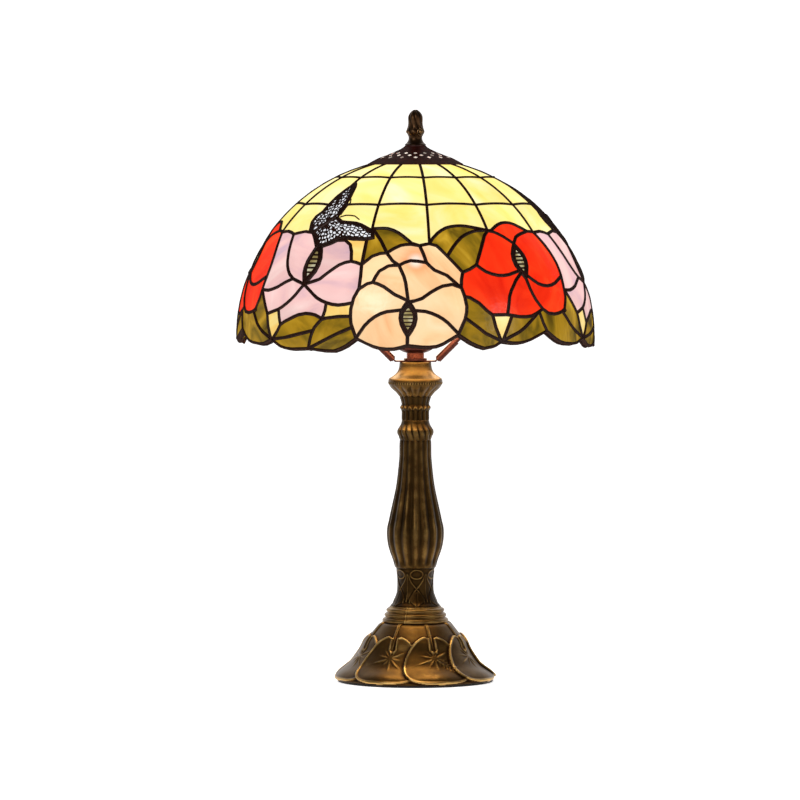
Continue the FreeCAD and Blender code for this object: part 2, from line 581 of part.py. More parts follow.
LEADS_FLOWER = [
    # upper edges of the leaves and the red flower against the yellow panels
    [(-66.5, 36.3), (-61.5, 36.8), (-58.5, 36.4), (-55.8, 35.7)],
    [(-55.8, 35.7), (-52.5, 36.3), (-49, 36.8), (-46.5, 36.5)],
    [(-17.4, 38.1), (-11.3, 38.2), (-6.9, 36.6), (-3.8, 34.4), (-1.5, 32.6), (1.3, 31.7)],
    [(5, 32.4), (6.2, 34.3), (8.5, 36.4), (12, 38.4), (16.3, 39.2), (20.5, 39.1),
     (25, 38.2), (29.5, 37.4)],
    [(29.5, 37.3), (31.3, 37.4), (34.4, 39.1), (38.1, 40.3), (42.5, 40.3), (46.3, 38.8),
     (50, 36.9), (53.5, 36.6)],
    # lavender flower
    [(-55.8, 35.7), (-54.1, 31.5), (-52.5, 27.8), (-50.6, 24.3), (-48.1, 21.5), (-45.7, 20)],
    [(-61.7, 16.2), (-57.5, 16), (-52.5, 17.2), (-48.8, 18.9), (-45.7, 20)],
    [(-45.7, 20), (-43.1, 19.2), (-40, 18.2)],
    [(-46.9, 36.6), (-44.4, 36.3), (-41.9, 34), (-39.4, 31)],
    [(-39.4, 31), (-41.3, 26), (-41.4, 22), (-40, 18.2)],
    [(-37.2, 31.4), (-35.6, 27), (-36.4, 22.5), (-40, 18.2)],
    [(-36.2, 31.4), (-33.1, 32.4), (-30.9, 33.5), (-27.5, 33.6), (-25, 32), (-23.8, 29.5),
     (-23.1, 26.1)],
    [(-39.8, 18.3), (-34, 20), (-31.3, 22), (-27.5, 24.8), (-23.1, 26.1), (-19, 25)],
    [(-19, 25), (-18.8, 21), (-18.9, 16.9)],
    [(-40, 18.2), (-36.9, 16), (-33.8, 13.9), (-30, 12.4), (-25.6, 11.7), (-21, 12.4)],
    [(-55.6, 8.5), (-50, 10), (-46.3, 12), (-43.1, 14.6), (-40, 18.2)],
    [(-61.7, 16.4), (-58.8, 12.8), (-55.6, 8.5)],
    [(-49.8, 9.9), (-49.1, 7.5), (-48.2, 5.2)],
    [(-30, 12.3), (-30.2, 10), (-31, 7.3)],
    [(-51.8, 0.5), (-49.6, 3.1), (-48.2, 5.2), (-44.4, 7), (-40.6, 8.4), (-37.5, 8.9),
     (-33.8, 8.5), (-31, 7.3)],
    [(-55.6, 8.5), (-54.4, 4.5), (-52.6, 0.6)],
    [(-31, 7.3), (-29.4, 7.6), (-25, 8.1), (-20.9, 8.2)],
    # peach flower
    [(-18.9, 16.9), (-20.4, 14), (-21.1, 10.5), (-20.8, 6), (-19, 1.4)],
    [(-18.9, 16.9), (-16.3, 18.6), (-14.4, 19.1), (-10.6, 17.7), (-6.9, 15.2), (-2.5, 13.2)],
    [(-19, 1.4), (-16.3, 5.3), (-13.1, 8.1), (-9.4, 9.7), (-4.3, 10.3)],
    [(-19, 25), (-17.8, 26), (-15.6, 27.9), (-12.8, 28.9), (-10.4, 29.1)],
    [(-14.4, 19.1), (-12.5, 22.8), (-9.4, 24.6), (-5.8, 24.8)],
    [(-10.4, 29.1), (-8.1, 26.3), (-5.8, 24.8)],
    [(-5.8, 24.8), (-3.9, 20.8), (-3, 17), (-2.5, 13.2)],
    [(-5.8, 24.8), (-1.9, 26.4), (3.7, 25.7)],
    [(-10.4, 29.1), (-8.1, 30.6), (-5.6, 31.8), (-1.9, 32.2), (1.3, 31.7)],
    [(1.4, 31.7), (2.6, 29), (3.7, 25.7)],
    [(3.7, 25.7), (6.3, 23.2), (10.4, 21.4), (12.5, 19.5), (14.9, 17.4)],
    [(1.3, 31.7), (5, 32.4), (7.6, 31.7), (10.6, 28.5), (13.8, 25), (16, 22.4)],
    [(-2.4, 12.6), (1.9, 13.9), (5, 16), (8.8, 17.9), (12, 18.4), (14.9, 17.4)],
    [(-0.5, 10.1), (3.1, 9.8), (6.9, 8.4), (10, 6.3), (13.4, 2.8)],
    [(-2.5, 13.2), (-4.8, 9.5), (-4.6, 5.8), (-2.6, 2.0)],
    [(-2.5, 13.2), (-0.1, 9.5), (-0.4, 5.6), (-2.6, 2.0)],
    [(-2.6, 2.2), (-2.7, -0.8)],
    [(16, 22.4), (15.3, 20), (15, 17.5), (15.9, 14.5)],
    [(15.9, 14.5), (16.4, 11.3), (15.7, 7.5), (13.4, 2.7)],
    # red flower
    [(15.9, 14.5), (17.5, 14.2), (20.6, 12.4), (23.1, 10), (25, 8.6)],
    [(21.3, 24.9), (18.8, 23.5), (16, 22.4)],
    [(29.5, 37.2), (27.5, 35.5), (24.4, 30.6), (21.3, 24.9)],
    [(21.3, 24.9), (24.4, 22.6), (28.8, 21.3), (33.1, 21.5), (38, 22.8)],
    [(29.5, 37.2), (31.9, 36.8), (35.6, 35), (39.4, 32.3)],
    [(39.4, 32.3), (41.9, 34.7), (45.6, 36), (50, 36.9)],
    [(39.4, 32.3), (36.9, 28.5), (36.9, 24.6), (40, 20.0)],
    [(39.4, 32.3), (42.0, 28), (42.0, 24.3), (40, 20.0)],
    [(38.4, 22), (35.5, 19.6), (33.8, 17.5), (31.9, 14.4), (30.4, 8.6)],
    [(40, 20.1), (40.8, 16.8), (42.5, 13.1), (45, 10.2)],
    [(41, 21.0), (45, 18.4), (49.4, 17.6), (53.8, 18.4), (58.9, 20.6)],
    [(53.5, 36.6), (55.3, 33.8), (57.6, 29.4), (58.9, 25), (59, 21), (58.3, 16.3)],
    [(58.3, 16.3), (58, 13.5), (56.3, 10), (56.6, 9.4)],
    [(25, 8.6), (30.4, 8.6), (35, 7.9), (40, 8.1), (43.8, 9.7), (45, 10.2), (47.5, 8.8),
     (50.6, 8.5), (54.4, 9.1), (56.5, 10)],
    # leaves
    [(11.2, 28), (13.8, 31.3), (17.5, 34.7), (21.3, 36.5), (25, 37.3), (29.3, 37.4)],
    [(-17.2, 38.0), (-13.1, 33.4), (-10.4, 29.1)],
    [(-18.8, 34), (-18.8, 29), (-19, 25)],
    [(-64.9, 9), (-61.3, 5.2), (-57.5, 2.7), (-52.6, 0.6)],
    [(-52.0, 0.5), (-46.3, 1.1), (-40, 2.3), (-34.2, 3.6)],
    [(-31.1, 7.2), (-33.8, 4.5), (-35.3, 0.8), (-36, -2.2)],
    [(-35.8, -2), (-31.3, 0), (-26.3, 2.4), (-20.6, 4.7)],
    [(15.8, 7.7), (18.8, 5.6), (22.5, 2.8), (27.6, 0.5)],
    [(25, 8.6), (26, 4.5), (27.7, 0.5)],
    [(32, 8.3), (29.9, 3.8), (28.3, 0.5)],
    [(28.3, 0.5), (34.4, 3.1), (38.1, 5.5), (42.9, 9.2)],
    [(43.2, 9.5), (44.6, 5.8), (46.1, 3.2)],
]

BUTTERFLY = [
    (-41, 59.8), (-38.2, 57.5), (-35.8, 52.5), (-35.2, 48), (-35.6, 42.6), (-32.4, 41),
    (-25.2, 40.4), (-20.7, 38.9), (-16.8, 36.8), (-16.2, 34.4), (-19, 33.8), (-24.3, 33.9),
    (-27.9, 34.3), (-31, 33.6), (-33.5, 32.6), (-36.2, 31.5), (-39.4, 31.3), (-41.5, 34),
    (-44, 36), (-47.3, 37.5), (-48.8, 40.5), (-48.6, 43), (-46.5, 45), (-46, 48),
    (-45, 52.5), (-43, 57),
]

GLASS_SEEDS = {
    "yellow_glass_upper": [(-54.5, 69), (-30.5, 69), (-6.5, 69), (17.5, 69), (41.5, 69)],
    "yellow_glass_middle": [(-55, 56), (-29, 56), (-6.5, 56), (17.5, 56), (41.5, 56)],
    "yellow_glass_lower": [(-56, 42), (-27, 45), (-8, 43), (17.5, 44), (41.5, 44)],
    "lavender_petal_glass": [(-57, 27), (-47, 29), (-30, 28), (-27, 18), (-51, 14.5), (-39, 12)],
    "peach_petal_glass": [(-14, 13), (-9, 4), (5, 4), (9, 12), (2, 20), (-8, 21), (-15, 23.5),
                          (-3, 29), (9, 26)],
    "red_petal_glass": [(30, 29), (41, 37.5), (50, 27), (25, 15.5), (37, 13), (50, 13)],
    "upper_leaf_glass": [(-9, 34), (-15.5, 30.5), (13, 36), (19, 30)],
    "lower_leaf_glass": [(-58.5, 9.5), (53, 4), (-41, 5.5), (-43, -0.4), (-28, 5), (-27, 0),
                         (21.5, 8), (20, 2), (34, 6), (39, 3.7)],
    "filler_glass": [(-52.4, 7), (-26, 10), (-21.2, 30), (28.3, 6)],
    "pistil_glass": [(-38.4, 26), (-2.5, 7.5), (39.4, 26)],
}


def chart(point):
    """Longitude and latitude to a flat conformal chart, both in degrees."""
    lon, lat = point
    return (lon, math.degrees(math.atanh(math.sin(math.radians(lat)))))


def unchart(x, y):
    return (x, math.degrees(math.asin(math.tanh(math.radians(y)))))


def smooth(points, step):
    """A smooth run of points through the given ones."""
    run = [points[0]]
    for i in range(len(points) - 1):
        p1 = points[i]
        p2 = points[i + 1]
        p0 = points[i - 1] if i > 0 else (2 * p1[0] - p2[0], 2 * p1[1] - p2[1])
        p3 = points[i + 2] if i + 2 < len(points) else (2 * p2[0] - p1[0], 2 * p2[1] - p1[1])
        count = max(1, int(round(math.dist(p1, p2) / step)))
        for k in range(1, count + 1):
            t = k / count
            spot = []
            for c in (0, 1):
                a = 2 * p1[c]
                b = (p2[c] - p0[c]) * t
                d = (2 * p0[c] - 5 * p1[c] + 4 * p2[c] - p3[c]) * t * t
                e = (-p0[c] + 3 * p1[c] - 3 * p2[c] + p3[c]) * t * t * t
                spot.append(0.5 * (a + b + d + e))
            run.append((spot[0], spot[1]))
    return run


def strip(points, width, step=2.4):
    """The flat chart's polygon of one lead line of the given width in millimetres."""
    line = [chart(p) for p in smooth(points, step)]
    half = math.degrees(0.5 * width / DIM["shade_radius"])
    count = len(line)
    left = []
    right = []
    for i in range(count):
        a = line[max(0, i - 1)]
        b = line[min(count - 1, i + 1)]
        length = math.dist(a, b)
        ux = (b[0] - a[0]) / length
        uy = (b[1] - a[1]) / length
        reach = half / math.cos(math.radians(unchart(*line[i])[1]))
        push = 0.0
        if i == 0:
            push = -0.7 * reach
        if i == count - 1:
            push = 0.7 * reach
        x = line[i][0] + ux * push
        y = line[i][1] + uy * push
        left.append((x - uy * reach, y + ux * reach))
        right.append((x + uy * reach, y - ux * reach))
    return left + right[::-1]


def flat_face(polygon):
    corners = [V(x, y, 0) for x, y in polygon]
    return Part.Face(Part.makePolygon(corners + [corners[0]]))


STRIPS = []


def add_strip(points, width):
    for turn in (-120.0, 0.0, 120.0):
        moved = [(lon + turn, lat) for lon, lat in points]
        xs = [p[0] for p in moved]
        if max(xs) < -100 or min(xs) > 100:
            continue
        polygon = strip(moved, width)
        px = [p[0] for p in polygon]
        py = [p[1] for p in polygon]
        STRIPS.append((flat_face(polygon), (min(px), min(py), max(px), max(py))))


for line in LEADS_GRID:
    add_strip(line, GRID)
for line in LEADS_RINGS:
    add_strip(line, GRID)
for line in LEADS_RIM:
    add_strip(line, GRID)
for line in LEADS_FLOWER:
    add_strip(line, FLOWER)
# the lead round the butterfly runs from wing tip to wing foot on either side
WING_FOOT = 16
add_strip(BUTTERFLY[:WING_FOOT + 1], GRID)
add_strip(BUTTERFLY[WING_FOOT:] + [BUTTERFLY[0]], GRID)


def tidy(polygon, least, borders=()):
    """Drop corners that add next to nothing to an outline, but none on a border."""
    points = [(round(x, 6), round(y, 6)) for x, y in polygon]
    changed = True
    while changed and len(points) > 4:
        changed = False
        for i in range(len(points)):
            a = points[i - 1]
            b = points[i]
            c = points[(i + 1) % len(points)]
            if any(abs(b[0] - border) < 1e-4 for border in borders):
                continue
            area = abs((b[0] - a[0]) * (c[1] - a[1]) - (b[1] - a[1]) * (c[0] - a[0]))
            base = max(math.dist(a, c), 1e-6)
            if math.dist(a, b) < least or area / base < 0.07:
                del points[i]
                changed = True
                break
    return points


def cell(seed, reach=(15.0, 16.0)):
    """The outline of the glass piece that holds seed, between the lead lines."""
    cx, cy = chart(seed)
    low = (cx - reach[0], cy - reach[1])
    high = (cx + reach[0], cy + reach[1])
    domain = flat_face([low, (high[0], low[1]), high, (low[0], high[1])])
    near = []
    for face, box in STRIPS:
        if box[2] > low[0] and box[0] < high[0] and box[3] > low[1] and box[1] < high[1]:
            near.append(face)
    pieces = domain.cut(near)
    spot = V(cx, cy, 0)
    for face in pieces.Faces:
        if face.isInside(spot, 1e-6, True):
            corners = [(v.Point.x, v.Point.y) for v in face.OuterWire.OrderedVertexes]
            return tidy(corners, 0.45)
    return None


CENTRE = V(0, 0, DIM["shade_centre_z"])


def direction(x, y):
    lon, lat = unchart(x, y)
    a = math.radians(lon)
    b = math.radians(lat)
    return V(math.cos(b) * math.sin(a), -math.cos(b) * math.cos(a), math.sin(b))


def prism(polygon, low=136.0, high=158.0):
    """A wedge with its side faces aimed at the dome's centre, cut off near and far."""
    ways = []
    for x, y in polygon:
        ways.append(direction(x, y))
    middle = V(0, 0, 0)
    for way in ways:
        middle = middle + way
    middle.normalize()
    near = [CENTRE + way * (low / way.dot(middle)) for way in ways]
    far = [CENTRE + way * (high / way.dot(middle)) for way in ways]
    count = len(ways)
    faces = [Part.Face(Part.makePolygon(near + [near[0]]))]
    faces.append(Part.Face(Part.makePolygon(far + [far[0]])))
    for i in range(count):
        j = (i + 1) % count
        quad = [near[i], near[j], far[j], far[i], near[i]]
        faces.append(Part.Face(Part.makePolygon(quad)))
    shell = Part.Shell(faces)
    shell.sewShape()
    solid = Part.Solid(shell)
    if solid.Volume < 0:
        solid.reverse()
    return solid


def dome_shell(outer, inner):
    return Part.makeSphere(outer, CENTRE).cut(Part.makeSphere(inner, CENTRE))


SOLDER_OUT = DIM["shade_radius"]
SOLDER_IN = SOLDER_OUT - DIM["solder_depth"]
GLASS_OUT = SOLDER_OUT - DIM["glass_recess"]
GLASS_IN = GLASS_OUT - DIM["glass_depth"]
glass_shell = dome_shell(GLASS_OUT, GLASS_IN)
mouth = Part.makeCylinder(DIM["shade_mouth_radius"] + 1.6, 60.0, V(0, 0, 400.0))
glass_shell = glass_shell.cut(mouth)


def thrice(shape):
    copies = []
    for k in range(3):
        copy = shape.copy()
        copy.rotate(V(0, 0, 0), V(0, 0, 1), 120.0 * k)
        copies.append(copy)
    return copies


windows = []
GLASS = {}
OUTLINES = {}
for node, seeds in GLASS_SEEDS.items():
    GLASS[node] = []
    for seed in seeds:
        reach = (15.0, 16.0)
        if node.startswith("yellow"):
            reach = (22.0, 34.0)
        polygon = cell(seed, reach)
        if polygon is None:
            raise RuntimeError("no glass piece at %s %s" % (node, seed))
        OUTLINES[(node, seed)] = polygon
        wedge = prism(polygon)
        pane = glass_shell.common(wedge)
        if len(pane.Solids) != 1:
            raise RuntimeError("glass piece at %s %s has %d solids" % (node, seed,
                                                                      len(pane.Solids)))
        if node == "yellow_glass_upper":
            stop = Part.makeCylinder(DIM["shade_mouth_radius"] + 1.6, 60.0, V(0, 0, 400.0))
            wedge = wedge.cut(stop)
        windows.append(wedge)
        GLASS[node].append(pane.Solids[0])

butterfly_outline = cell((-40.0, 46.0), (26.0, 34.0))
OUTLINES["butterfly"] = butterfly_outline
butterfly_wedge = prism(butterfly_outline)
windows.append(butterfly_wedge)
GLASS["butterfly_glass"] = [glass_shell.common(butterfly_wedge).Solids[0]]

for node, panes in GLASS.items():
    solids = []
    for pane in panes:
        solids.extend(thrice(pane))
    keep(feature(node, Part.makeCompound(solids)))

# below the scalloped rim there is nothing: one open cell from the middle of each scallop
# to the middle of the next
middles = [0.5 * (line[0][0] + line[-1][0]) for line in LEADS_RIM]
middles.append(middles[0] + 120.0)
FAR_BELOW = chart((0, -12.0))[1]
ABOVE_RIM = chart((0, 8.0))[1]
for left, right in zip(middles, middles[1:]):
    domain = flat_face([(left, FAR_BELOW), (right, FAR_BELOW), (right, ABOVE_RIM),
                        (left, ABOVE_RIM)])
    near = []
    for face, box in STRIPS:
        if box[2] > left and box[0] < right and box[1] < ABOVE_RIM:
            near.append(face)
    spot = V(0.5 * (left + right), FAR_BELOW + 1.0, 0)
    for face in domain.cut(near).Faces:
        if face.isInside(spot, 1e-6, True):
            corners = [(v.Point.x, v.Point.y) for v in face.OuterWire.OrderedVertexes]
            windows.append(prism(tidy(corners, 0.3, (left, right))))

solder = dome_shell(SOLDER_OUT, SOLDER_IN)
solder = solder.common(Part.makeCylinder(200.0, 260.0, V(0, 0, 266.0)))
solder = solder.cut(Part.makeCylinder(DIM["shade_mouth_radius"], 60.0, V(0, 0, 400.0)))
cutters = []
for window in windows:
    cutters.extend(thrice(window))
solder = solder.cut(cutters)
pieces = sorted(solder.Solids, key=lambda s: s.Volume)
print("solder solids", len(pieces), [round(s.Volume, 1) for s in pieces[-4:]])
keep(feature("solder_network", pieces[-1]))


# ---------------------------------------------------------------- pierced metal overlays
def shrink(polygon, share):
    cx = sum(p[0] for p in polygon) / len(polygon)
    cy = sum(p[1] for p in polygon) / len(polygon)
    return [(cx + (x - cx) * share, cy + (y - cy) * share) for x, y in polygon]


def flat_points(points):
    return [chart(p) for p in points]


overlay = dome_shell(GLASS_OUT + 0.9, GLASS_OUT)
WING_WINDOWS = [
    [(-41.2, 57.0), (-38.6, 55.6), (-37.6, 52.6), (-40.6, 53.4)],
    [(-44.2, 53.0), (-41.6, 52.0), (-41.2, 48.6), (-44.6, 49.6)],
    [(-40.2, 51.8), (-37.0, 51.2), (-36.6, 47.6), (-39.8, 48.0)],
    [(-44.6, 48.0), (-41.0, 47.2), (-40.2, 43.8), (-43.6, 44.8)],
    [(-39.6, 46.6), (-36.8, 46.2), (-36.9, 43.4), (-38.9, 43.0)],
    [(-47.4, 43.0), (-44.8, 42.9), (-44.2, 40.6), (-47.4, 40.2)],
    [(-46.8, 39.0), (-43.9, 39.4), (-42.9, 37.4), (-45.6, 37.6)],
    [(-42.0, 36.6), (-39.4, 38.4), (-37.0, 35.0), (-39.6, 33.2)],
    [(-35.6, 35.4), (-33.0, 37.6), (-30.6, 36.4), (-32.6, 34.2)],
    [(-33.4, 39.9), (-30.4, 39.9), (-29.2, 37.8), (-32.4, 38.3)],
    [(-28.9, 39.6), (-25.4, 39.3), (-24.4, 37.4), (-28.0, 37.6)],
    [(-24.0, 38.9), (-20.9, 37.6), (-18.6, 35.9), (-22.8, 36.9)],
    [(-29.2, 36.6), (-24.6, 36.4), (-20.6, 34.9), (-25.6, 35.0), (-29.2, 35.4)],
]
filigree = overlay.common(butterfly_wedge)
wing_cuts = [prism(flat_points(window)) for window in WING_WINDOWS]
filigree = filigree.cut(wing_cuts)
keep(feature("butterfly_filigree", Part.makeCompound(thrice(filigree.Solids[0]))))

antenna_shell = dome_shell(SOLDER_OUT + 0.6, SOLDER_OUT)
antennae = []
for line in ([(-34.4, 43.6), (-33.8, 46.9), (-33, 49), (-34, 50.7)],
             [(-34.0, 42.6), (-31.5, 43.3), (-27, 43), (-24.4, 41.6)]):
    stem = antenna_shell.common(prism(strip(line, 1.0)))
    antennae.extend(thrice(stem.Solids[0]))
keep(feature("butterfly_antennae", Part.makeCompound(antennae)))

pistil_covers = []
for seed in GLASS_SEEDS["pistil_glass"]:
    outline = OUTLINES[("pistil_glass", seed)]
    cover = overlay.common(prism(outline))
    ys = [p[1] for p in outline]
    low = min(ys)
    high = max(ys)
    cx = sum(p[0] for p in outline) / len(outline)
    inner = flat_face(shrink(outline, 0.76))
    cuts = []
    slots = 6
    pitch = (high - low) * 0.76 / slots
    for k in range(slots):
        floor = low + (high - low) * 0.12 + k * pitch
        band = flat_face([(cx - 6, floor + 0.18 * pitch), (cx + 6, floor + 0.18 * pitch),
                          (cx + 6, floor + 0.82 * pitch), (cx - 6, floor + 0.82 * pitch)])
        for face in inner.common(band).Faces:
            corners = [(v.Point.x, v.Point.y) for v in face.OuterWire.OrderedVertexes]
            if face.Area > 0.3:
                cuts.append(prism(tidy(corners, 0.2)))
    cover = cover.cut(cuts)
    pistil_covers.extend(thrice(cover.Solids[0]))
keep(feature("pistil_filigree", Part.makeCompound(pistil_covers)))

# ---------------------------------------------------------------- check and write
doc.recompute()
for obj in doc.Objects:
    if "Invalid" in obj.State or "Error" in obj.State:
        raise RuntimeError("%s did not rebuild: %s" % (obj.Label, obj.State))
os.makedirs("parts", exist_ok=True)
total = 0.0
for obj in NODES:
    shape = obj.Shape
    if shape.isNull() or not shape.isValid():
        raise RuntimeError("%s has no valid shape" % obj.Label)
    if not shape.Solids:
        raise RuntimeError("%s has no solid" % obj.Label)
    total += shape.Volume
    shape.exportStep("parts/%s.step" % obj.Label)
    print("%-22s %3d solids %10.1f mm3" % (obj.Label, len(shape.Solids), shape.Volume))
print("nodes", len(NODES), "volume", round(total))
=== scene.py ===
import math

import bpy
import numpy as np
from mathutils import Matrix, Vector


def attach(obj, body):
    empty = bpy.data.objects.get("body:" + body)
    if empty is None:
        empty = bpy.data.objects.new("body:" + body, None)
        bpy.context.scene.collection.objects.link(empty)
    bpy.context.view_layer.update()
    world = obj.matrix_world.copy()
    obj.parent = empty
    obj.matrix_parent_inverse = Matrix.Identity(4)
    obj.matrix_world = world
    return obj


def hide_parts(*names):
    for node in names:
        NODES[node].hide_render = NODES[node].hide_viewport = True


# The looks of the stained glass table lamp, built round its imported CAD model.
# Metres, +Z up, the front faces -Y.  Lengths written with MM are millimetres.

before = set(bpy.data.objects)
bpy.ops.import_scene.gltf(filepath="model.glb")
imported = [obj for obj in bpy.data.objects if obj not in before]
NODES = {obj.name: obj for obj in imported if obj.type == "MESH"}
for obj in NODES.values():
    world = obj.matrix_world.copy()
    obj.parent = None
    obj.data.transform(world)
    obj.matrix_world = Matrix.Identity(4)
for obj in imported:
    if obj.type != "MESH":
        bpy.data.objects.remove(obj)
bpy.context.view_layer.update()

MM = 0.001
SHADE_CENTRE = np.array([0.0, 0.0, 0.2907])
SOLDER_OUT = 0.1509          # outer face of the solder network
SOLDER_IN = 0.1473           # its inner face
GLASS_OUT = 0.1503
GLASS_IN = 0.1475
BORE = 5.3 * MM              # the castings' hole for the lamp tube


# ------------------------------------------------------------------ materials
def new_material(name):
    """A material with an empty node tree but for its output."""
    material = bpy.data.materials.new(name)
    material.use_nodes = True
    tree = material.node_tree
    tree.nodes.clear()
    out = tree.nodes.new("ShaderNodeOutputMaterial")
    return material, tree, out


def link(tree, a, a_socket, b, b_socket):
    tree.links.new(a.outputs[a_socket], b.inputs[b_socket])


def ramp(tree, stops):
    node = tree.nodes.new("ShaderNodeValToRGB")
    elements = node.color_ramp.elements
    while len(elements) < len(stops):
        elements.new(0.5)
    for element, (place, colour) in zip(elements, stops):
        element.position = place
        element.color = (colour[0], colour[1], colour[2], 1.0)
    return node


def noise(tree, scale, detail=3.0, rough=0.55, distortion=0.0):
    node = tree.nodes.new("ShaderNodeTexNoise")
    node.inputs["Scale"].default_value = scale
    node.inputs["Detail"].default_value = detail
    node.inputs["Roughness"].default_value = rough
    node.inputs["Distortion"].default_value = distortion
    return node


def plug(tree, socket, value):
    """Give a socket a number, a vector, a colour, or another node's (node, output)."""
    if isinstance(value, tuple) and hasattr(value[0], "outputs"):
        tree.links.new(value[0].outputs[value[1]], socket)
    elif isinstance(value, tuple) and socket.type == "RGBA":
        socket.default_value = (value[0], value[1], value[2], 1.0)
    else:
        socket.default_value = value


def mixing(tree, kind, factor, a, b):
    """Two colours mixed; the result is output 2."""
    node = tree.nodes.new("ShaderNodeMix")
    node.data_type = "RGBA"
    node.blend_type = kind
    for value, index in ((factor, 0), (a, 6), (b, 7)):
        plug(tree, node.inputs[index], value)
    return node


def maths(tree, operation, *values):
    node = tree.nodes.new("ShaderNodeMath")
    node.operation = operation
    for socket, value in zip(node.inputs, values):
        plug(tree, socket, value)
    return node


def vector_maths(tree, operation, *values):
    node = tree.nodes.new("ShaderNodeVectorMath")
    node.operation = operation
    for socket, value in zip(node.inputs, values):
        plug(tree, socket, value)
    return node


def ranged(tree, value, source, target=(0.0, 1.0), kind="LINEAR"):
    """A value carried from the source range to the target range."""
    node = tree.nodes.new("ShaderNodeMapRange")
    node.interpolation_type = kind
    plug(tree, node.inputs["Value"], value)
    node.inputs["From Min"].default_value = source[0]
    node.inputs["From Max"].default_value = source[1]
    node.inputs["To Min"].default_value = target[0]
    node.inputs["To Max"].default_value = target[1]
    return node


def grained(tree, scale, detail, rough, spot, distortion=0.0):
    """Noise read at the given position."""
    node = noise(tree, scale, detail, rough, distortion)
    plug(tree, node.inputs["Vector"], spot)
    return node


def bumped(tree, height, strength, depth):
    node = tree.nodes.new("ShaderNodeBump")
    node.inputs["Strength"].default_value = strength
    node.inputs["Distance"].default_value = depth
    plug(tree, node.inputs["Height"], height)
    return node


def object_position(tree):
    return (tree.nodes.new("ShaderNodeTexCoord"), "Object")


def principled(tree, out, colour, bump):
    """The usual shader, with its colour and its bump, as the material's surface."""
    shader = tree.nodes.new("ShaderNodeBsdfPrincipled")
    plug(tree, shader.inputs["Base Color"], colour)
    link(tree, bump, "Normal", shader, "Normal")
    link(tree, shader, "BSDF", out, "Surface")
    return shader


def two_tones(tree, marks, colour, darker, lighter):
    """A colour that wanders between a darker and a lighter tone along the marks."""
    dark = tuple(darker * c for c in colour)
    light = tuple(min(1.0, lighter * c) for c in colour)
    tones = ramp(tree, [(0.3, dark), (0.7, light)])
    link(tree, marks, "Fac", tones, "Fac")
    return (tones, "Color")


def bronze(name, hollow, middle, edge, rough=0.36):
    """Patinated cast metal: dark in the hollows, rubbed bright where the relief stands out."""
    material, tree, out = new_material(name)
    place = object_position(tree)
    wear = tree.nodes.new("ShaderNodeAttribute")
    wear.attribute_name = "wear"
    blotch = grained(tree, 90.0, 5.0, 0.6, place)
    speck = grained(tree, 900.0, 3.0, 0.7, place)
    blotchiness = 0.34
    shift = maths(tree, "MULTIPLY_ADD", (blotch, "Fac"), blotchiness, (wear, "Fac"))
    settle = maths(tree, "SUBTRACT", (shift, "Value"), 0.5 * blotchiness)
    tones = ramp(tree, [(0.18, hollow), (0.45, middle), (0.8, edge)])
    link(tree, settle, "Value", tones, "Fac")
    grime = mixing(tree, "MULTIPLY", 0.35, (tones, "Color"), (speck, "Color"))
    bump = bumped(tree, (blotch, "Fac"), 0.25, 0.4 * MM)
    shader = principled(tree, out, (grime, 2), bump)
    shader.inputs["Metallic"].default_value = 1.0
    polish = ranged(tree, (settle, "Value"), (0.0, 1.0), (rough + 0.14, rough - 0.1))
    link(tree, polish, "Result", shader, "Roughness")
    return material


def plain_metal(name, colour, rough=0.35, metal=1.0):
    """Small metal parts: an even colour with faint marks and uneven polish."""
    material, tree, out = new_material(name)
    marks = grained(tree, 300.0, 4.0, 0.6, object_position(tree))
    tones = two_tones(tree, marks, colour, 0.62, 1.2)
    shader = principled(tree, out, tones, bumped(tree, (marks, "Fac"), 0.12, 0.3 * MM))
    shader.inputs["Metallic"].default_value = metal
    polish = ranged(tree, (marks, "Fac"), (0.0, 1.0), (rough - 0.08, rough + 0.12))
    link(tree, polish, "Result", shader, "Roughness")
    return material


def coated(tree, colour, gloss, rough, bump):
    """A dull colour under a thin gloss of the same weight at every angle."""
    dull = tree.nodes.new("ShaderNodeBsdfDiffuse")
    plug(tree, dull.inputs["Color"], colour)
    shine = tree.nodes.new("ShaderNodeBsdfGlossy")
    shine.inputs["Color"].default_value = (1.0, 0.97, 0.93, 1.0)
    shine.inputs["Roughness"].default_value = rough
    both = tree.nodes.new("ShaderNodeMixShader")
    both.inputs["Fac"].default_value = gloss
    link(tree, dull, "BSDF", both, 1)
    link(tree, shine, "BSDF", both, 2)
    link(tree, bump, "Normal", dull, "Normal")
    link(tree, bump, "Normal", shine, "Normal")
    return both


def dark_patina(name, colour, rough, gloss):
    """Near-black patina with a weak sheen."""
    material, tree, out = new_material(name)
    marks = grained(tree, 260.0, 4.0, 0.6, object_position(tree))
    tones = two_tones(tree, marks, colour, 0.5, 2.0)
    bump = bumped(tree, (marks, "Fac"), 0.15, 0.3 * MM)
    both = coated(tree, tones, gloss, rough, bump)
    link(tree, both, "Shader", out, "Surface")
    return material


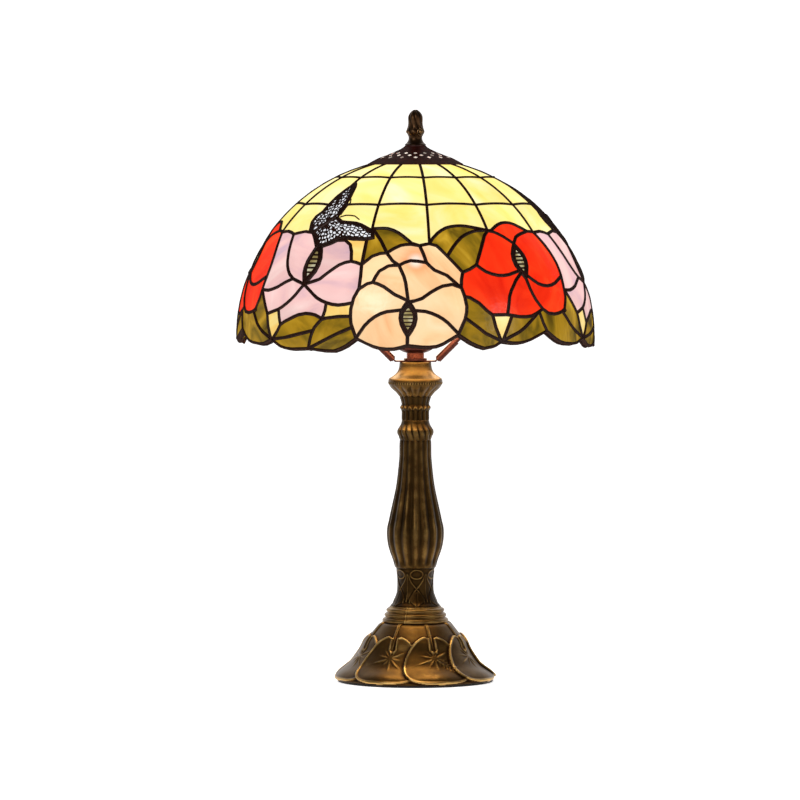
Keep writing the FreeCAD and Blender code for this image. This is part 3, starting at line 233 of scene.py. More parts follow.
def paint_bulb_glow_inside(material, near, far):
    """Paint the bulb's light on the underside and the vents as a glow (emission), on faces turned
    downwards between two distances from the axis.
    """
    tree = material.node_tree
    out = tree.nodes["Material Output"]
    skin = out.inputs["Surface"].links[0].from_socket
    place = object_position(tree)
    flat = vector_maths(tree, "MULTIPLY", place, (1.0, 1.0, 0.0))
    reach = vector_maths(tree, "LENGTH", (flat, "Vector"))
    band = maths(tree, "COMPARE", (reach, "Value"), 0.5 * (near + far), 0.5 * (far - near))
    surface = tree.nodes.new("ShaderNodeNewGeometry")
    split = tree.nodes.new("ShaderNodeSeparateXYZ")
    link(tree, surface, "Normal", split, "Vector")
    below = ranged(tree, (split, "Z"), (0.3, 0.1))
    patch = grained(tree, 90.0, 1.0, 0.5, place)
    uneven = ranged(tree, (patch, "Fac"), (0.35, 0.6), (0.3, 1.0))
    painted_glow_mask = maths(tree, "MULTIPLY", (below, "Result"), (band, "Value"))
    power = maths(tree, "MULTIPLY", (painted_glow_mask, "Value"), (uneven, "Result"))
    painted_glow = tree.nodes.new("ShaderNodeEmission")
    painted_glow.inputs["Color"].default_value = (1.0, 0.88, 0.76, 1.0)
    link(tree, power, "Value", painted_glow, "Strength")
    total = tree.nodes.new("ShaderNodeAddShader")
    tree.links.new(skin, total.inputs[0])
    link(tree, painted_glow, "Emission", total, 1)
    link(tree, total, "Shader", out, "Surface")


def matte(name, colour, rough=0.9, grain=700.0, spread=0.35, bumpy=0.3):
    """Felt, board and plastics: a dull colour with a fine grain."""
    material, tree, out = new_material(name)
    grains = grained(tree, grain, 4.0, 0.7, object_position(tree))
    tones = two_tones(tree, grains, colour, 1.0 - spread, 1.0 + spread)
    shader = principled(tree, out, tones, bumped(tree, (grains, "Fac"), bumpy, 0.3 * MM))
    shader.inputs["Roughness"].default_value = rough
    return material


# centres of the glass's painted light: the painted glow is stronger near the bulb, and a painted
# hot spot sits on the shade's front
BULB_PLACE = (0.0, 0.0, 0.375)
PAINTED_HOT_SPOT = (0.0, -0.1345, 0.3575)


def art_glass(name, stops, painted_glow=0.75, stretch=(1.0, 1.0, 0.3), scale=38.0):
    """Streaky opalescent glass, with the bulb's light behind it painted on as a glow (emission).

    Each pane is cut from a different part of the sheet, so the streaks are moved and
    turned by a random number per pane.  The painted glow is stronger on panes nearer the bulb."""
    material, tree, out = new_material(name)
    place = object_position(tree)
    pane = (tree.nodes.new("ShaderNodeNewGeometry"), "Random Per Island")
    angle = maths(tree, "MULTIPLY", pane, 2.4)
    turn = tree.nodes.new("ShaderNodeVectorRotate")
    turn.rotation_type = "AXIS_ANGLE"
    turn.inputs["Axis"].default_value = (0.35, 0.9, 0.25)
    plug(tree, turn.inputs["Vector"], place)
    link(tree, angle, "Value", turn, "Angle")
    jump = vector_maths(tree, "SCALE", (1.7, 3.1, 2.3))
    plug(tree, jump.inputs["Scale"], pane)
    moved = (vector_maths(tree, "ADD", (turn, "Vector"), (jump, "Vector")), "Vector")
    drawn = tree.nodes.new("ShaderNodeMapping")
    drawn.inputs["Scale"].default_value = stretch
    plug(tree, drawn.inputs["Vector"], moved)
    streak = grained(tree, scale, 4.0, 0.5, (drawn, "Vector"), 1.2)
    colours = ramp(tree, stops)
    link(tree, streak, "Fac", colours, "Fac")
    colour = (colours, "Color")
    # painted backlight: how strongly the painted glow shows at this spot, stronger nearer the bulb
    # and varied for thinner and thicker glass
    cloud = grained(tree, scale * 0.45, 2.0, 0.5, moved, 0.4)
    thick = ranged(tree, (cloud, "Fac"), (0.3, 0.7), (0.86, 1.08))
    reach = vector_maths(tree, "DISTANCE", place, BULB_PLACE)
    near = ranged(tree, (reach, "Value"), (0.07, 0.19), (painted_glow * 1.22, painted_glow * 0.86))
    power = maths(tree, "MULTIPLY", (near, "Result"), (thick, "Result"))
    # painted highlight: the bulb's hot spot, painted as one small spot at a fixed place on the
    # front of the shade
    spot = (vector_maths(tree, "DISTANCE", place, PAINTED_HOT_SPOT), "Value")
    painted_halo = ranged(tree, spot, (0.017, 0.004), kind="SMOOTHSTEP")
    painted_core = ranged(tree, spot, (0.009, 0.001), kind="SMOOTHSTEP")
    warmed = mixing(tree, "MULTIPLY", (painted_halo, "Result"), colour, (1.0, 0.62, 0.5))
    shown = mixing(tree, "MIX", (painted_core, "Result"), (warmed, 2), (1.0, 0.88, 0.76))
    painted_backlight = tree.nodes.new("ShaderNodeEmission")
    link(tree, shown, 2, painted_backlight, "Color")
    link(tree, power, "Value", painted_backlight, "Strength")
    # the unlit glass: a dim colour, a little light let through, and a rippled gloss
    ripple = grained(tree, 130.0, 2.0, 0.5, moved, 0.6)
    dim = mixing(tree, "MULTIPLY", 1.0, colour, (0.1, 0.1, 0.1))
    face = coated(tree, (dim, 2), 0.02, 0.22, bumped(tree, (ripple, "Fac"), 0.35, 0.6 * MM))
    through = tree.nodes.new("ShaderNodeBsdfTranslucent")
    plug(tree, through.inputs["Color"], colour)
    body = tree.nodes.new("ShaderNodeMixShader")
    body.inputs["Fac"].default_value = 0.06
    link(tree, face, "Shader", body, 1)
    link(tree, through, "BSDF", body, 2)
    total = tree.nodes.new("ShaderNodeAddShader")
    link(tree, body, "Shader", total, 0)
    link(tree, painted_backlight, "Emission", total, 1)
    link(tree, total, "Shader", out, "Surface")
    return material


def glowing(name, colour, strength):
    """Frosted glass with the filament's light in it."""
    material, tree, out = new_material(name)
    frost = grained(tree, 400.0, 3.0, 0.6, object_position(tree))
    bump = bumped(tree, (frost, "Fac"), 0.1, 0.2 * MM)
    shader = principled(tree, out, (0.95, 0.94, 0.9), bump)
    shader.inputs["Roughness"].default_value = 0.4
    plug(tree, shader.inputs["Emission Color"], colour)
    shader.inputs["Emission Strength"].default_value = strength
    return material


BRONZE = bronze("antique_bronze", (0.022, 0.009, 0.003), (0.115, 0.062, 0.017),
                (0.58, 0.37, 0.13))
# a darker copy of the same bronze: painted shade for the foot, vase, gadroon and neck, which sit in
# shadow under the lit shade
SHADED_VASE_BRONZE = bronze("painted_shade_vase_bronze", (0.008, 0.004, 0.0015), (0.048, 0.025, 0.007),
                     (0.38, 0.23, 0.075), rough=0.4)
FINIAL_BRONZE = bronze("dark_finial_bronze", (0.014, 0.006, 0.003), (0.09, 0.045, 0.02),
                       (0.5, 0.29, 0.12), rough=0.34)
SOLDER = dark_patina("dark_solder", (0.015, 0.0036, 0.0018), rough=0.4, gloss=0.015)
CAP_METAL = dark_patina("red_brown_cap", (0.03, 0.004, 0.0025), rough=0.42, gloss=0.02)
# painted glow: the bulb's light painted on the cap's underside, where it shows through the vents
paint_bulb_glow_inside(CAP_METAL, 16.5 * MM, 33.5 * MM)
DARK_METAL = plain_metal("dark_red_brown_metal", (0.06, 0.013, 0.008), rough=0.34, metal=0.8)
COPPER = plain_metal("copper_trim", (0.24, 0.06, 0.03), rough=0.32)
BRASS = plain_metal("satin_brass", (0.5, 0.36, 0.14), rough=0.3)
STEEL = plain_metal("zinc_steel", (0.42, 0.42, 0.43), rough=0.35)
BRIGHT = plain_metal("bright_aluminium", (0.72, 0.72, 0.73), rough=0.25)
FELT = matte("black_felt", (0.012, 0.012, 0.013), rough=1.0, grain=2500.0)
BOARD = matte("brown_board", (0.2, 0.12, 0.07), rough=0.85)
PLASTIC = matte("black_plastic", (0.02, 0.02, 0.02), rough=0.5, spread=0.15, bumpy=0.1)
LINER = matte("fibre_liner", (0.05, 0.045, 0.04), rough=0.8)
PORCELAIN = matte("white_porcelain", (0.82, 0.81, 0.77), rough=0.25, spread=0.04, bumpy=0.05)

YELLOW_GLASS = art_glass("yellow_art_glass", [
    (0.2, (1.0, 0.66, 0.12)), (0.38, (1.0, 0.8, 0.22)), (0.55, (1.0, 0.85, 0.34)),
    (0.78, (1.0, 0.94, 0.62))], painted_glow=0.97, stretch=(1.0, 1.0, 0.45), scale=24.0)
LAVENDER_GLASS = art_glass("lavender_art_glass", [
    (0.22, (0.42, 0.33, 0.5)), (0.36, (0.72, 0.46, 0.5)), (0.5, (0.86, 0.54, 0.52)),
    (0.8, (0.93, 0.7, 0.66))], painted_glow=1.02)
PEACH_GLASS = art_glass("peach_art_glass", [
    (0.16, (0.9, 0.3, 0.12)), (0.34, (0.96, 0.55, 0.27)), (0.52, (1.0, 0.66, 0.36)),
    (0.8, (1.0, 0.78, 0.5))], painted_glow=1.0)
RED_GLASS = art_glass("red_art_glass", [
    (0.2, (0.74, 0.012, 0.002)), (0.5, (0.97, 0.035, 0.006)), (0.8, (1.0, 0.075, 0.014))],
    painted_glow=1.0)
LEAF_GLASS = art_glass("leaf_art_glass", [
    (0.3, (0.07, 0.042, 0.003)), (0.42, (0.2, 0.125, 0.006)), (0.56, (0.38, 0.215, 0.01)),
    (0.76, (0.62, 0.38, 0.03))], painted_glow=0.98, stretch=(1.0, 1.0, 0.22), scale=44.0)
AMBER_GLASS = art_glass("amber_art_glass", [
    (0.2, (1.0, 0.5, 0.08)), (0.5, (1.0, 0.74, 0.24)), (0.8, (1.0, 0.88, 0.48))], painted_glow=0.95)
PISTIL_GLASS = art_glass("pistil_art_glass", [
    (0.25, (0.2, 0.14, 0.04)), (0.45, (0.42, 0.34, 0.14)), (0.6, (0.72, 0.68, 0.46)),
    (0.8, (0.9, 0.9, 0.78))], painted_glow=0.8, scale=60.0)
WHITE_GLASS = art_glass("white_art_glass", [
    (0.25, (0.72, 0.74, 0.8)), (0.6, (0.9, 0.92, 0.96)), (0.85, (1.0, 1.0, 1.0))], painted_glow=0.92)
BULB = glowing("lit_bulb", (1.0, 0.8, 0.46), 1.15)


# ------------------------------------------------------------------ mesh helpers
def add_piece(name, verts, faces, body, material, wear=None):
    """A mesh object riding on a body, with the wear value of each vertex kept on it."""
    mesh = bpy.data.meshes.new(name)
    mesh.from_pydata(np.asarray(verts, dtype=float).tolist(), [], [list(f) for f in faces])
    if wear is not None:
        layer = mesh.attributes.new("wear", "FLOAT", "POINT")
        layer.data.foreach_set("value", np.asarray(wear, dtype=np.float32).ravel())
    mesh.polygons.foreach_set("use_smooth", np.full(len(mesh.polygons), True))
    mesh.update()
    piece = bpy.data.objects.new(name, mesh)
    bpy.context.scene.collection.objects.link(piece)
    piece.data.materials.append(material)
    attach(piece, body)
    return piece


def grid_faces(rows, columns, closed_rows):
    """Quads of a grid that closes round its columns, and round its rows where asked."""
    r = np.arange(rows if closed_rows else rows - 1)
    c = np.arange(columns)
    rr, cc = np.meshgrid(r, c, indexing="ij")
    rn = (rr + 1) % rows
    cn = (cc + 1) % columns
    quads = np.stack([rr * columns + cc, rr * columns + cn, rn * columns + cn, rn * columns + cc],
                     axis=-1)
    return quads.reshape(-1, 4)


def sampled(points, step):
    """A smooth run of (radius, height) through the given corners, about step apart."""
    pts = np.array(points, dtype=float)
    out = [pts[0]]
    for i in range(len(pts) - 1):
        p1 = pts[i]
        p2 = pts[i + 1]
        p0 = pts[i - 1] if i > 0 else 2 * p1 - p2
        p3 = pts[i + 2] if i + 2 < len(pts) else 2 * p2 - p1
        count = max(1, int(math.ceil(np.linalg.norm(p2 - p1) / step)))
        for k in range(1, count + 1):
            t = k / count
            out.append(0.5 * (2 * p1 + (p2 - p0) * t + (2 * p0 - 5 * p1 + 4 * p2 - p3) * t * t
                              + (3 * p1 - p0 - 3 * p2 + p3) * t ** 3))
    return np.array(out)


def blurred(field, size):
    """A box blur that wraps round the columns."""
    out = field
    for axis in (0, 1):
        total = np.zeros_like(out)
        for shift in range(-size, size + 1):
            if axis == 1:
                total += np.roll(out, shift, axis=1)
            else:
                rows = np.clip(np.arange(out.shape[0]) + shift, 0, out.shape[0] - 1)
                total += out[rows]
        out = total / (2 * size + 1)
    return out


def turned_relief(name, node, outline, relief, around, step, bore=BORE, material=BRONZE,
                  body="lamp", blur=5, gain=1.6, base_wear=0.36,
                  hollow=None):
    """A cast piece: an outline turned about the lamp's axis, with relief along its normals.

    outline is (radius, height) in millimetres from the bottom up; relief takes the angle
    (radians from the front), the height, the radius and the run along the outline, all as
    grids, and gives the height of the relief in millimetres.  The wear goes up where the
    relief stands out from what is round it.  hollow is the inside, from the top down."""
    run = sampled(outline, step)
    tangent = np.gradient(run, axis=0)
    tangent /= np.linalg.norm(tangent, axis=1)[:, None]
    normal = np.stack([tangent[:, 1], -tangent[:, 0]], axis=1)
    length = np.concatenate([[0.0], np.cumsum(np.linalg.norm(np.diff(run, axis=0), axis=1))])
    theta = np.linspace(0.0, 2 * math.pi, around, endpoint=False)
    grid_t, grid_s = np.meshgrid(theta, length)
    grid_r = np.repeat(run[:, :1], around, axis=1)
    grid_z = np.repeat(run[:, 1:], around, axis=1)
    height = relief(grid_t, grid_z, grid_r, grid_s)
    ease = np.minimum(1.0, np.minimum(length, length[-1] - length) / 0.8)[:, None]
    height = height * ease
    radius = grid_r + normal[:, :1] * height
    upright = grid_z + normal[:, 1:] * height
    stand = height - blurred(height, blur)
    wear = np.clip(base_wear + gain * stand, 0.0, 1.0)
    inside = hollow or [(bore / MM, outline[-1][1]), (bore / MM, outline[0][1])]
    for r, z in inside:
        radius = np.vstack([radius, np.full((1, around), r)])
        upright = np.vstack([upright, np.full((1, around), z)])
        wear = np.vstack([wear, np.full((1, around), 0.1)])
    angles = np.repeat(theta[None, :], radius.shape[0], axis=0)
    verts = np.stack([radius * np.sin(angles), -radius * np.cos(angles), upright], axis=-1)
    faces = grid_faces(radius.shape[0], around, True)
    piece = add_piece(name, verts.reshape(-1, 3) * MM, faces, body, material,
                      wear.reshape(-1))
    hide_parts(node)


def ridge(distance, width):
    """A rounded ridge across distance."""
    return np.exp(-(distance / width) ** 2)


def step_up(x, edge, soft):
    """From 0 below the edge to 1 above it, over about four times soft."""
    return 1.0 / (1.0 + np.exp(-np.clip((x - edge) / soft, -40, 40)))


def wrapped(angle):
    """The same angle between -pi and pi."""
    return (angle + math.pi) % (2 * math.pi) - math.pi


# ------------------------------------------------------------------ base and column
BASE_OUTLINE = [
    (65.6, 1.5), (67.0, 1.6), (67.4, 2.6), (66.9, 4.6), (63.9, 8.2), (55.2, 14.6),
    (49.8, 21.2), (45.2, 28.0), (41.8, 34.8), (36.6, 41.6), (34.0, 44.8), (31.0, 48.2),
    (28.6, 49.6), (26.8, 49.6),
]
BASE_HOLLOW = [
    (24.0, 49.6), (24.0, 45.0), (29.6, 45.0), (34.4, 40.5), (39.2, 34.0), (42.6, 27.5),
    (47.0, 20.5), (52.4, 14.0), (60.6, 7.4), (64.8, 4.6), (65.0, 1.5),
]
PAD_COUNT = 8
PAD_RUN = 48.0               # radius at which the pads' widths are measured
PAD_FIRST = math.radians(19.0)
PAD_HEIGHT = 22.5            # height of the pads' centres above the table


def lily_pads(theta, z, r, s):
    """Lily pads round the skirt, each lying over its left neighbour, with notch and stem."""
    centre = np.interp(PAD_HEIGHT, z[:, 0], s[:, 0])
    surface = np.zeros_like(z)
    for k in range(PAD_COUNT):
        away = wrapped(theta - PAD_FIRST - k * 2 * math.pi / PAD_COUNT)
        # the stem comes down from the band and curls into the notch
        u = away * PAD_RUN
        v = s - centre
        bend = u * r / PAD_RUN + 0.10 * v - 0.10 * np.clip(v - 8.0, 0.0, 99.0) - 0.4
        stem = 1.1 * np.sqrt(np.clip(1.0 - (bend / 1.5) ** 2, 0.0, 1.0))
        stem = stem - 0.7 * ridge(bend, 0.45)
        stem = stem * step_up(v, 3.0, 0.5) * (np.abs(away) < 0.4)
        surface = np.maximum(surface, stem)
    depth = np.full_like(z, -99.0)
    for k in range(PAD_COUNT):
        away = wrapped(theta - PAD_FIRST - k * 2 * math.pi / PAD_COUNT)
        u = away * PAD_RUN
        v = s - centre
        d = np.hypot(u, v)
        phi = np.arctan2(u, v)
        sine = np.abs(np.sin(phi))
        cosine = np.abs(np.cos(phi))
        upper = 21.5 + 1.2 * sine
        lower = 25.0 / (sine ** 3.4 + (cosine * 0.9) ** 3.4) ** (1 / 3.4)
        blend = step_up(v, 1.0, 3.0)
        reach = upper * blend + lower * (1.0 - blend)
        # the notch is a narrow channel with a round end, lobes curling in beside it
        slot = np.hypot(u - 0.6, np.minimum(v - 8.5, 0.0)) - 2.1
        slot = np.where(v > -2.0, slot, 9.0)
        shoulder = 2.4 * ridge(np.abs(u) - 2.2, 3.4) * blend
        edge = np.minimum(reach - shoulder - d, slot)
        inside = step_up(edge, 0.0, 0.22)
        bead = ridge(edge - 1.0, 0.85)
        share = np.clip(d / reach, 0.0, 1.0)
        # the left side rides high over the neighbour, the right side sinks under the next
        tilt = -0.030 * u
        pad = 0.55 + tilt + 0.75 * bead + 0.45 * share ** 2
        vein = np.zeros_like(z)
        for j in range(10):
            way = wrapped(phi - (j + 0.5) * 2 * math.pi / 10 - 0.2)
            across = np.abs(way) * d
            long = 10.0 + 3.0 * math.sin(2.3 * j)
            vein = np.maximum(vein, ridge(across, 0.6) * step_up(long - d, 0.0, 1.2))
        pad = pad + 0.6 * vein * step_up(d, 1.4, 0.4) + 0.5 * ridge(d, 1.5)
        here = (inside > 0.5) & (np.abs(away) < 0.7)
        wins = here & (pad > depth)
        surface = np.where(wins, np.maximum(pad, 0.15), surface)
        depth = np.where(wins, pad, depth)
    # a small sprig lies on one pad
    away = wrapped(theta - PAD_FIRST) * r
    up = s - centre
    along = (away - 9.0) * 0.8 - (up + 7.0) * 0.6
    across = (away - 9.0) * 0.6 + (up + 7.0) * 0.8
    sprig = ridge(across, 0.5) * (np.abs(along) < 9.0)
    for j in range(5):
        mid = -7.0 + 3.4 * j
        for hand in (1, -1):
            slant = hand * across - (along - mid) * 0.9
            leaf = ridge(slant, 0.55) * (hand * across > 0.2) * (hand * across < 3.4)
            sprig = np.maximum(sprig, leaf)
    lobes = 0.6 * np.cos((theta - PAD_FIRST) * PAD_COUNT) * step_up(r, 60.0, 1.5)
    return surface + 0.6 * sprig + lobes - 0.2


def band_rings(theta, z, r, s):
    """Three plain rings; a faint mould line crosses them."""
    seam = ridge(wrapped(theta + math.radians(19.0)) * r, 0.5)
    return 0.15 * seam + 0.05 * np.cos(theta * 7.0)


def foot_leaves(theta, z, r, s):
    """Crossing scrolls with a leaf between them, round the flared foot."""
    t = (z - 66.0) / 25.0
    best = np.zeros_like(z)
    count = 6
    for k in range(count):
        u = wrapped(theta - math.radians(4.0) - k * 2 * math.pi / count) * r
        sway = 6.6 * np.cos(math.pi * np.clip(t, 0, 1.0))
        for hand in (1, -1):
            scroll = ridge(u - hand * sway, 0.85) * step_up(t, 0.03, 0.02) * step_up(-t, -1.0, 0.02)
            best = np.maximum(best, 0.95 * scroll)
        top = ridge(np.hypot(u, (z - 91.0) * 1.4) - 5.2, 0.9) * (z > 86)
        best = np.maximum(best, 0.8 * top)
        w = 7.5 * np.clip(1.0 - np.abs(t - 0.16) / 0.26, 0, 1) ** 0.7
        inside = step_up(w - np.abs(u), 0.2, 0.25)
        leaf = inside * (0.9 - 0.35 * ridge(u, 0.5)) * (w > 0.3)
        best = np.maximum(best, leaf)
        v = wrapped(theta - math.radians(34.0) - k * 2 * math.pi / count) * r
        w2 = 6.0 * np.clip(1.0 - np.abs(t - 0.55) / 0.5, 0, 1) ** 0.8
        between = step_up(w2 - np.abs(v), 0.2, 0.25) * (0.55 + 0.4 * ridge(v, 0.6)) * (w2 > 0.3)
        best = np.maximum(best, between)
    return 0.7 * best


FLUTES = 16


def vase_flutes(theta, z, r, s):
    """Narrow ridges with wide hollows between, fading out at the two ends."""
    crest = np.abs(np.cos(theta * FLUTES / 2)) ** 1.7
    deep = 0.062 * r
    ends = step_up(z, 99.0, 1.2)
    return -deep * (1.0 - crest) * ends


def gadroons(theta, z, r, s):
    lobe = np.abs(np.cos(theta * FLUTES / 2 + 0.12 * (z - 211.0))) ** 0.7
    middle = ridge(z - 210.8, 5.0)
    return (1.5 * lobe - 0.9) * middle


def neck_leaves(theta, z, r, s):
    """Slender upright leaves whose tips turn out in a ring."""
    crest = np.abs(np.cos(theta * FLUTES / 2)) ** 1.3
    tip = 0.8 * ridge(z - 231.0 - 0.8 * np.cos(theta * FLUTES), 1.2)
    low = (1.1 * crest - 0.8) * step_up(-z, -231.0, 0.8)
    high = (0.7 * crest - 0.5) * step_up(z, 233.0, 0.8)
    return low + tip + high


def cup_relief(theta, z, r, s):
    """Leaf flutes under the cup, a beaded lip and a plain upper flare."""
    under = (0.9 * np.abs(np.cos(theta * FLUTES / 2)) - 0.5) * step_up(-z, -249.5, 0.8)
    beads = 0.3 * np.cos(theta * 64.0) * ridge(z - 252.2, 0.8)
    return under + beads


turned_relief("base_skirt", "base_casting", BASE_OUTLINE, lily_pads, 560, 0.55,
              gain=0.42, base_wear=0.41, hollow=BASE_HOLLOW)
turned_relief("ring_band_cast", "ring_band", [
    (25.0, 50.0), (27.2, 50.0), (27.9, 51.4), (27.3, 53.0), (25.3, 54.2), (26.2, 55.7),
    (25.6, 57.3), (23.7, 58.4), (24.6, 59.9), (23.9, 61.5), (22.1, 62.4), (21.6, 63.4),
    (19.0, 64.0)], band_rings, 360, 0.35, blur=2, base_wear=0.5)
turned_relief("foot_cast", "column_foot", [
    (19.0, 64.0), (20.8, 64.2), (18.9, 66.4), (17.4, 69.0), (16.0, 72.4), (15.0, 75.9),
    (14.7, 82.6), (14.9, 89.4), (16.2, 95.6), (14.0, 96.0)], foot_leaves, 420, 0.35,
    gain=0.75, base_wear=0.36, material=SHADED_VASE_BRONZE)
turned_relief("vase_cast", "baluster_vase", [
    (14.0, 96.0), (17.0, 96.2), (19.1, 102.8), (21.6, 109.6), (23.3, 116.0), (24.1, 123.0),
    (23.9, 129.8), (22.4, 136.6), (21.1, 143.0), (19.5, 150.0), (18.0, 156.8), (16.6, 163.5),
    (15.6, 170.0), (14.8, 177.0), (14.1, 183.8), (13.6, 190.0), (13.2, 203.6), (11.0, 204.0)],
    vase_flutes, 512, 0.75, blur=8, gain=0.42, base_wear=0.42, material=SHADED_VASE_BRONZE)
turned_relief("gadroon_cast", "gadroon_collar", [
    (11.0, 204.0), (13.0, 204.2), (13.8, 207.4), (14.6, 209.2), (14.8, 210.8), (14.6, 212.4),
    (13.8, 214.0), (12.2, 217.5), (11.4, 220.6), (10.0, 220.9)], gadroons, 384, 0.35,
    gain=0.7, base_wear=0.44, material=SHADED_VASE_BRONZE)
turned_relief("neck_cast", "column_neck", [
    (10.0, 220.9), (11.3, 221.2), (11.3, 227.6), (12.0, 230.0), (12.1, 231.4), (11.5, 234.4),
    (12.2, 237.7), (13.0, 240.8), (11.0, 241.0)], neck_leaves, 384, 0.35,
    gain=0.6, base_wear=0.38, material=SHADED_VASE_BRONZE)
turned_relief("cup_cast", "top_cup", [
    (11.0, 241.0), (13.2, 241.2), (16.0, 244.5), (19.8, 247.8), (22.3, 250.8), (22.8, 252.8),
    (22.8, 254.4), (22.1, 256.0), (20.4, 257.2), (17.4, 259.2), (15.0, 262.0), (13.8, 265.5),
    (13.2, 269.6), (12.0, 270.0)], cup_relief, 384, 0.4, blur=3, gain=0.7, base_wear=0.4)


# ------------------------------------------------------------------ finial
def bud_relief(theta, z, r, s):
    """A closed bud: leaves and three curled scrolls at the foot, ribbed petals above."""
    low = 0.5 * np.abs(np.cos(theta * 4.0 + 0.3 * z)) * ridge(z - 464.0, 3.2)
    petals = 0.6 * np.abs(np.cos(theta * 4.0 + 0.2 * (z - 466.0))) ** 0.7 * step_up(z, 467.0, 0.8)
    for side in (0.62, 0.62 - 2 * math.pi / 3, 0.62 + 2 * math.pi / 3):
        across = wrapped(theta - side) * 7.0
        up = z - 464.2
        out = np.hypot(across, up)
        curl = 0.5 * np.cos(out * 3.4 - np.arctan2(up, across)) * (1.0 - step_up(out, 3.2, 0.4))
        low = low * step_up(out, 3.4, 0.4) + np.maximum(curl, 0.0) + 0.4 * ridge(out, 1.0)
    return low + petals - 0.25


turned_relief("finial_bud", "finial", [
    (8.0, 452.7), (9.2, 452.8), (9.2, 453.5), (7.6, 454.8), (6.3, 456.9), (5.9, 459.2),
    (6.6, 461.6), (7.4, 463.4), (7.5, 464.8), (6.9, 466.6), (6.1, 469.0), (5.9, 471.5),
    (6.1, 474.5), (5.7, 477.2), (4.2, 479.8), (2.2, 481.6), (0.9, 482.3), (0.4, 482.5)],
    bud_relief, 192, 0.35, bore=0.2 * MM, material=FINIAL_BRONZE, body="finial_body")


# ------------------------------------------------------------------ bulb
def plain_relief(theta, z, r, s):
    return np.zeros_like(z)


turned_relief("bulb_glass_envelope", "bulb_globe", [
    (11.4, 326.0), (12.2, 326.2), (12.4, 329.0), (13.6, 334.5), (17.2, 342.5), (22.2, 350.0),
    (26.6, 358.5), (29.1, 367.0), (30.0, 375.0), (28.9, 383.5), (25.4, 391.5), (19.6, 398.0),
    (11.5, 402.8), (4.0, 404.7), (1.0, 405.0)], plain_relief, 96, 1.2, bore=0.5 * MM,
    material=BULB, body="bulb")


# ------------------------------------------------------------------ solder beads
def mesh_arrays(node):
    """Merged vertices and triangles of a CAD node."""
    mesh = NODES[node].data
    mesh.calc_loop_triangles()
    co = np.empty(len(mesh.vertices) * 3)
    mesh.vertices.foreach_get("co", co)
    co = co.reshape(-1, 3)
    tri = np.empty(len(mesh.loop_triangles) * 3, dtype=int)
    mesh.loop_triangles.foreach_get("vertices", tri)
    tri = tri.reshape(-1, 3)
    keys, first, inverse = np.unique(np.round(co * 2e5).astype(int), axis=0,
                                     return_index=True, return_inverse=True)
    return co[first], inverse.reshape(-1)[tri]


def surface_loops(node, radius):
    """The border loops of a node's faces that lie on the sphere of the given radius."""
    co, tri = mesh_arrays(node)
    rel = co - SHADE_CENTRE
    dist = np.linalg.norm(rel, axis=1)
    on = np.abs(dist - radius) < 0.1 * MM
    keep = on[tri].all(axis=1)
    tri = tri[keep]
    a, b, c = rel[tri[:, 0]], rel[tri[:, 1]], rel[tri[:, 2]]
    normal = np.cross(b - a, c - a)
    size = np.linalg.norm(normal, axis=1)
    middle = (a + b + c) / 3
    middle /= np.linalg.norm(middle, axis=1)[:, None]
    facing = np.einsum("ij,ij->i", normal, middle) / np.maximum(size, 1e-15)
    tri = tri[(np.abs(facing) > 0.7) & (size > 1e-14)]
    edges = {}
    for t in tri:
        for i in range(3):
            edges[(t[i], t[(i + 1) % 3])] = True
    after = {}
    for p, q in edges:
        if (q, p) not in edges:
            after.setdefault(p, []).append(q)
    loops = []
    while after:
        start = next(iter(after))
        loop = [start]
        spot = after[start].pop()
        if not after[start]:
            del after[start]
        while spot != start and spot in after:
            loop.append(spot)
            step_to = after[spot].pop()
            if not after[spot]:
                del after[spot]
            spot = step_to
        if len(loop) > 3:
            loops.append(rel[np.array(loop)])
    return loops


def eased(loop, per_edge, corner=0.62):
    """More points round a loop, curved between its gentle corners and kept sharp at others."""
    count = len(loop)
    out = []
    for i in range(count):
        p0, p1, p2, p3 = loop[i - 1], loop[i], loop[(i + 1) % count], loop[(i + 2) % count]
        span = p2 - p1
        length = np.linalg.norm(span)
        before = p1 - p0
        later = p3 - p2
        turn1 = np.arccos(np.clip(before @ span / (np.linalg.norm(before) * length), -1, 1))
        turn2 = np.arccos(np.clip(later @ span / (np.linalg.norm(later) * length), -1, 1))
        m1 = span if turn1 > corner else 0.5 * (before * length / np.linalg.norm(before) + span)
        m2 = span if turn2 > corner else 0.5 * (later * length / np.linalg.norm(later) + span)
        pieces = max(1, min(per_edge, int(round(length / (1.3 * MM)))))
        for k in range(pieces):
            t = k / pieces
            h = (2 * t ** 3 - 3 * t ** 2 + 1) * p1 + (t ** 3 - 2 * t ** 2 + t) * m1
            h = h + (3 * t ** 2 - 2 * t ** 3) * p2 + (t ** 3 - t ** 2) * m2
            out.append(h)
    return np.array(out)


def bead_ring(loop, section, radius):
    """A closed bead round a loop; section is (how far onto the solder, radius) pairs."""
    unit = loop / np.linalg.norm(loop, axis=1)[:, None]
    ahead = np.roll(unit, -1, axis=0) - unit
    ahead /= np.maximum(np.linalg.norm(ahead, axis=1), 1e-12)[:, None]
    behind = np.roll(ahead, 1, axis=0)
    left_a = np.cross(unit, ahead)
    left_b = np.cross(unit, behind)
    mid = left_a + left_b
    size = np.linalg.norm(mid, axis=1)
    mid = mid / np.maximum(size, 1e-9)[:, None]
    stretch = np.clip(2.0 / np.maximum(size, 0.2), 1.0, 1.3)
    rows = []
    for offset, reach in section:
        spot = unit * radius + mid * (offset * stretch)[:, None]
        spot = spot / np.linalg.norm(spot, axis=1)[:, None] * reach
        rows.append(spot + SHADE_CENTRE)
    return np.array(rows)


